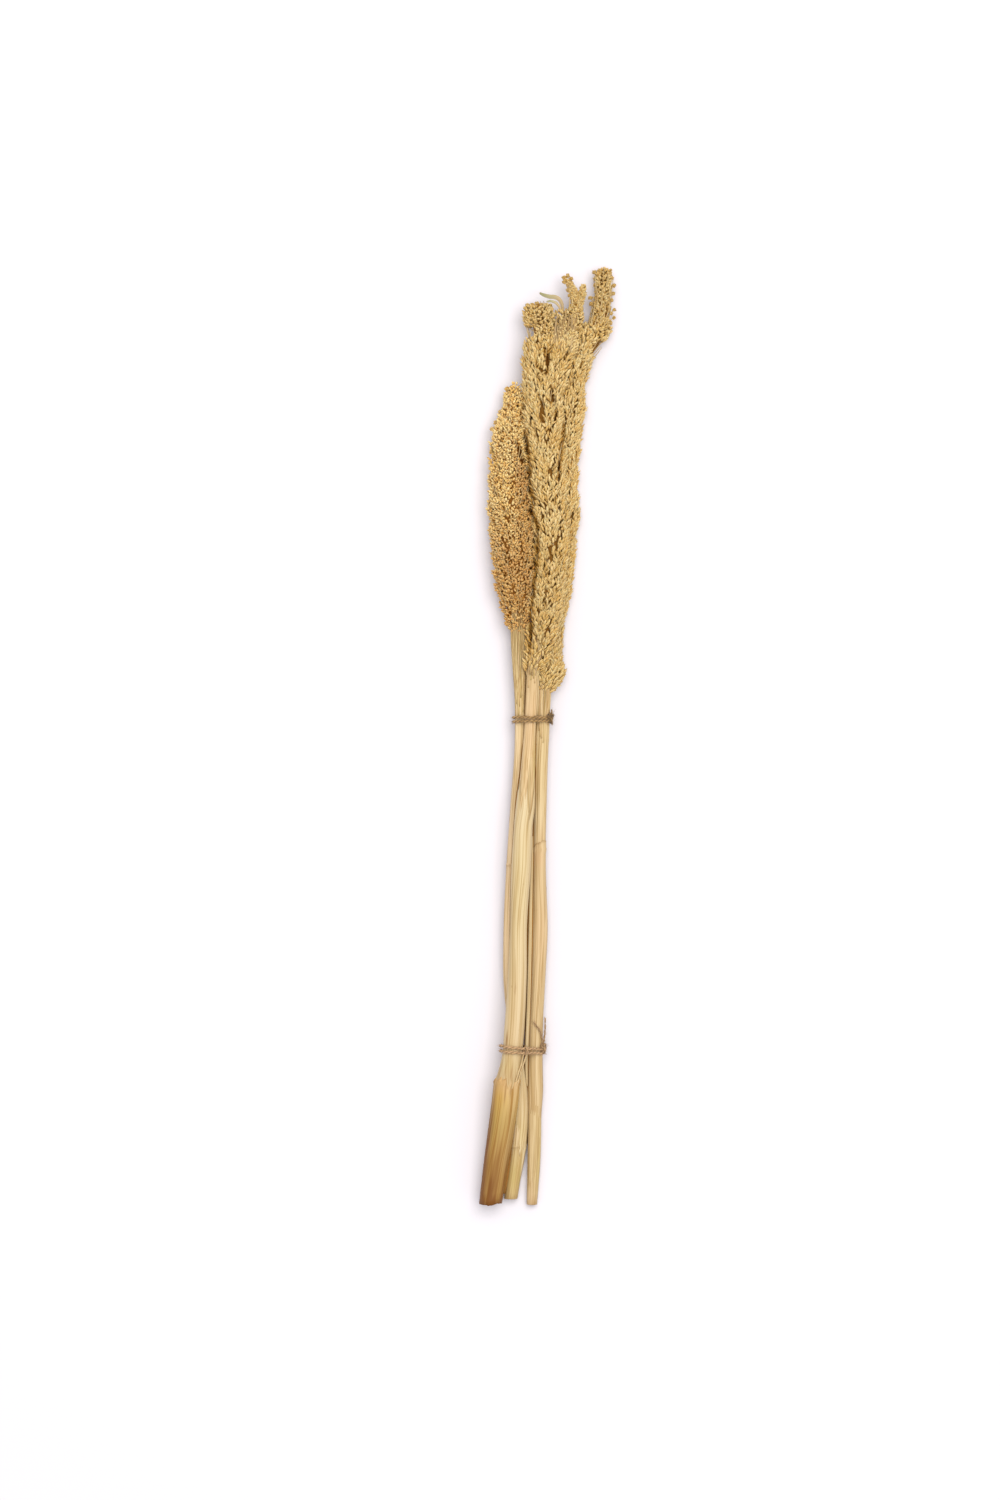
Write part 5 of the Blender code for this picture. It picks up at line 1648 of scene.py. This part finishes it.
def groove(over, under, side, first, last):
    """Follows the edge of the stem on top, at the height of the lower stem's round top beneath it, in mm."""
    y = np.linspace(first, last, 14)
    over_x, _, over_radius = route_at(STEMS[over], y * MM).T / MM
    under_x, under_z, under_radius = route_at(STEMS[under], y * MM).T / MM
    covered = 0.6 * ((y > SHEATHED[over][0]) & (y < SHEATHED[over][1]))
    x = over_x + side * (over_radius + covered + 0.15)
    height = np.sqrt(np.maximum(under_radius ** 2 - (x - under_x) ** 2, 0.3 * under_radius ** 2))
    return np.stack([x, y, under_z + height + 0.2], -1)


trial, _, _ = ribbon([(0, 0, 0), (0, 9, 1), (0, 20, 0)], 1.0, 0.3)
print("rows and columns of a trial ribbon:", trial.shape[:2])

# %% Strips, scraps and the curled leaf
# Each strip: places of x, y and z in mm, half width in mm, thickness in mm.
PALE_STRIPS = [
    ([(-12.0, -74, 15.4), (-12.9, -104, 15.4), (-13.8, -150, 14.8), (-14.9, -196, 14.2), (-16.2, -232, 13.4),
      (-16.6, -246, 12.4), (-16.0, -262, 10.8)], 1.35, 0.4),
    ([(-11.4, -26, 17.4), (-11.9, -44, 17.4), (-12.6, -66, 17.0), (-13.2, -90, 16.0)], 0.7, 0.3),
    ([(-13.6, -8, 22.6), (-13.9, -20, 24.8), (-14.6, -32, 27.0), (-15.2, -44, 28.6),
      (-14.9, -56, 28.6)], 0.75, 0.3),
    ([(-20.6, -34, 24.4), (-20.4, -44, 26.2), (-20.9, -56, 27.2), (-21.4, -68, 27.2)], 0.7, 0.3),
    ([(-5.4, 51, 15.9), (-5.0, 40, 16.7), (-5.2, 28, 17.4), (-5.6, 16, 17.5)], 0.75, 0.3),
    ([(-7.8, 53, 18.1), (-7.6, 40, 17.9), (-8.0, 28, 17.7), (-8.6, 16, 17.4)], 0.65, 0.3),
    ([(-2.2, 46, 16.4), (-1.8, 36, 16.6), (-2.0, 26, 16.8), (-2.2, 18, 16.6)], 0.55, 0.3),
]
# Dark brown scraps of old leaf, laid low in the gaps between the stems as painted shade.
OLD_LEAF_SHADE_SCRAPS = [
    ([(-9.4, 50, 13.0), (-9.0, 20, 12.4), (-9.4, -20, 11.8), (-11.4, -60, 11.4), (-13.6, -100, 13.2),
      (-14.0, -150, 13.0), (-15.2, -200, 12.4), (-16.2, -246, 11.0), (-16.0, -280, 6.4), (-16.6, -306, 4.6)],
     2.3, 0.5),
    ([(-17.6, 84, 14.0), (-17.0, 60, 13.4), (-17.2, 30, 12.8), (-17.6, 0, 12.4),
      (-19.0, -40, 12.8)], 1.9, 0.5),
    ([(-26.4, -285, 11.4), (-28.4, -305, 10.2), (-30.7, -325, 9.0), (-33.2, -343, 7.8)], 2.0, 0.5),
]
CURLED_LEAF = [
    ([(-6.8, 332.9, 20.8), (-3.6, 331.2, 22.0), (0.6, 329.9, 22.6), (4.6, 329.6, 22.4), (8.0, 327.9, 21.6),
      (10.0, 324.5, 20.2), (10.9, 319.0, 18.8)], 1.6, 0.4),
    ([(-1.6, 326.4, 20.6), (1.8, 326.6, 21.4), (5.6, 325.2, 21.4), (8.4, 321.8, 20.4),
      (9.8, 317.0, 18.8)], 1.0, 0.4),
]
FINE_STRANDS = [
    [(-18.8, -236.4, 24.4), (-20.2, -243.4, 24.4), (-22.4, -250.0, 25.2), (-24.6, -257.2, 27.6)],
    [(-16.6, -237.4, 23.0), (-18.6, -243.4, 22.8), (-20.7, -249.6, 24.0), (-23.0, -258.0, 27.0)],
]
# The edges of the middle stem, where a strip of old leaf beside it draws the groove's shade as a dark line.
GROOVE_SHADE_LINES = [(groove("middle", "left", -1, 56, -150), 0.55, 0.3),
           (groove("middle", "right", 1, 10, -66), 0.5, 0.3)]
print("strips:", len(PALE_STRIPS), "scraps:", len(OLD_LEAF_SHADE_SCRAPS) + len(GROOVE_SHADE_LINES), "leaves:", len(CURLED_LEAF))

# %% Make the strips, scraps and leaf
# Old leaf is dull and dark brown, and here its dark colour paints the shade in the grooves between the
# stems. The curled leaf died young: it is matt and has kept a grey-green tint.
OLD_LEAF_AND_SHADE = fibre_material("old_leaf_painted_shade", "#A0702C", "#86581C", "#603A0C", "#3C2204", 1.2, 40.0, 0.1, 0.7)
GREEN_LEAF = fibre_material("faded_green_leaf", "#B0B08C", "#9A986E", "#74724C", "#8A6236",
                            1.2, 40.0, 0.1, 0.7)
make_ribbons("torn_strips", PALE_STRIPS, SHEATH_PALE, "dry_sheath")
make_ribbons("old_leaf_shade_scraps", OLD_LEAF_SHADE_SCRAPS + GROOVE_SHADE_LINES, OLD_LEAF_AND_SHADE, "brown_sheath")
make_ribbons("curled_leaf", CURLED_LEAF, GREEN_LEAF, "pale_seed", (0.2, -1.6))
lines = np.stack([smooth_line(places, 24) for places in FINE_STRANDS])
strands = closed_tubes(lines, np.array([0.3, 0.0, 1.0]), np.full(lines.shape[:2], 0.6 * MM), 6)
make_piece("fine_strands", [fibre_body(strands, 0.0, 0.0)], FIBRE_FIELDS, SHEATH_DULL, "dry_sheath")

# %% [markdown]
# ## Bristles
# Where husks have dropped off, their bare stalks stay as fine pale bristles: a tuft in the crown of the
# middle head, and one at its foot. They could be streaks in a texture, but they stand over the husks and
# catch the light, so each is a tube that bends a little and narrows to its tip. Their straw is that of the
# branches, a little browner and pinker.

# %% Bristles between the ears
# Each tuft: how many, its lowest and highest x, y at its foot and tips, z, and its lean in x, all in mm.
BRISTLE_TUFTS = [(30, 3.0, 19.0, 291.0, 315.0, 25.2, 2.5), (16, -14.6, -9.0, 50.0, 82.0, 23.0, 3.5)]


def bristle_tubes(rng):
    """Line = foot to tip with a slight bend, for every bristle of every tuft."""
    lines = []
    for count, low, high, foot_y, tip_y, z, lean in BRISTLE_TUFTS:
        t = np.linspace(0, 1, 5)
        x = np.linspace(low, high, count)[:, None] + rng.normal(0, 0.4, (count, 1)) + lean * t
        x = x + rng.normal(0, 0.5, (count, 1)) * t**2
        y = foot_y + rng.uniform(-4, 4, (count, 1)) + (tip_y - foot_y + rng.uniform(-6, 3, (count, 1))) * t
        lines.append(np.stack([x, y, z + rng.uniform(-1.5, 1.0, (count, 1)) + 2.0 * t * (1 - t)], -1) * MM)
    lines = np.concatenate(lines)
    radii = np.broadcast_to(np.array([0.4, 0.42, 0.38, 0.3, 0.16]) * MM, lines.shape[:2])
    return closed_tubes(lines, np.array([0.1, 0.0, 1.0]), radii, 5)


bristles = fibre_body(bristle_tubes(np.random.default_rng(91)), 0.25, -0.4)
make_piece("bristles", [bristles], FIBRE_FIELDS, BRANCH, "straw")

# %% [markdown]
# ## Sizes and the end
# The dressed model must be as large as the solid one. Both boxes are worked out and printed at the end.

# %% Print the sizes and finish
NEW_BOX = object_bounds()
boxes = {"cad": [list(corner) for corner in CAD_BOX], "visual": [list(corner) for corner in NEW_BOX]}
for label, box in boxes.items():
    print(label, "box in mm:", [[round(value / MM, 1) for value in corner] for corner in box])
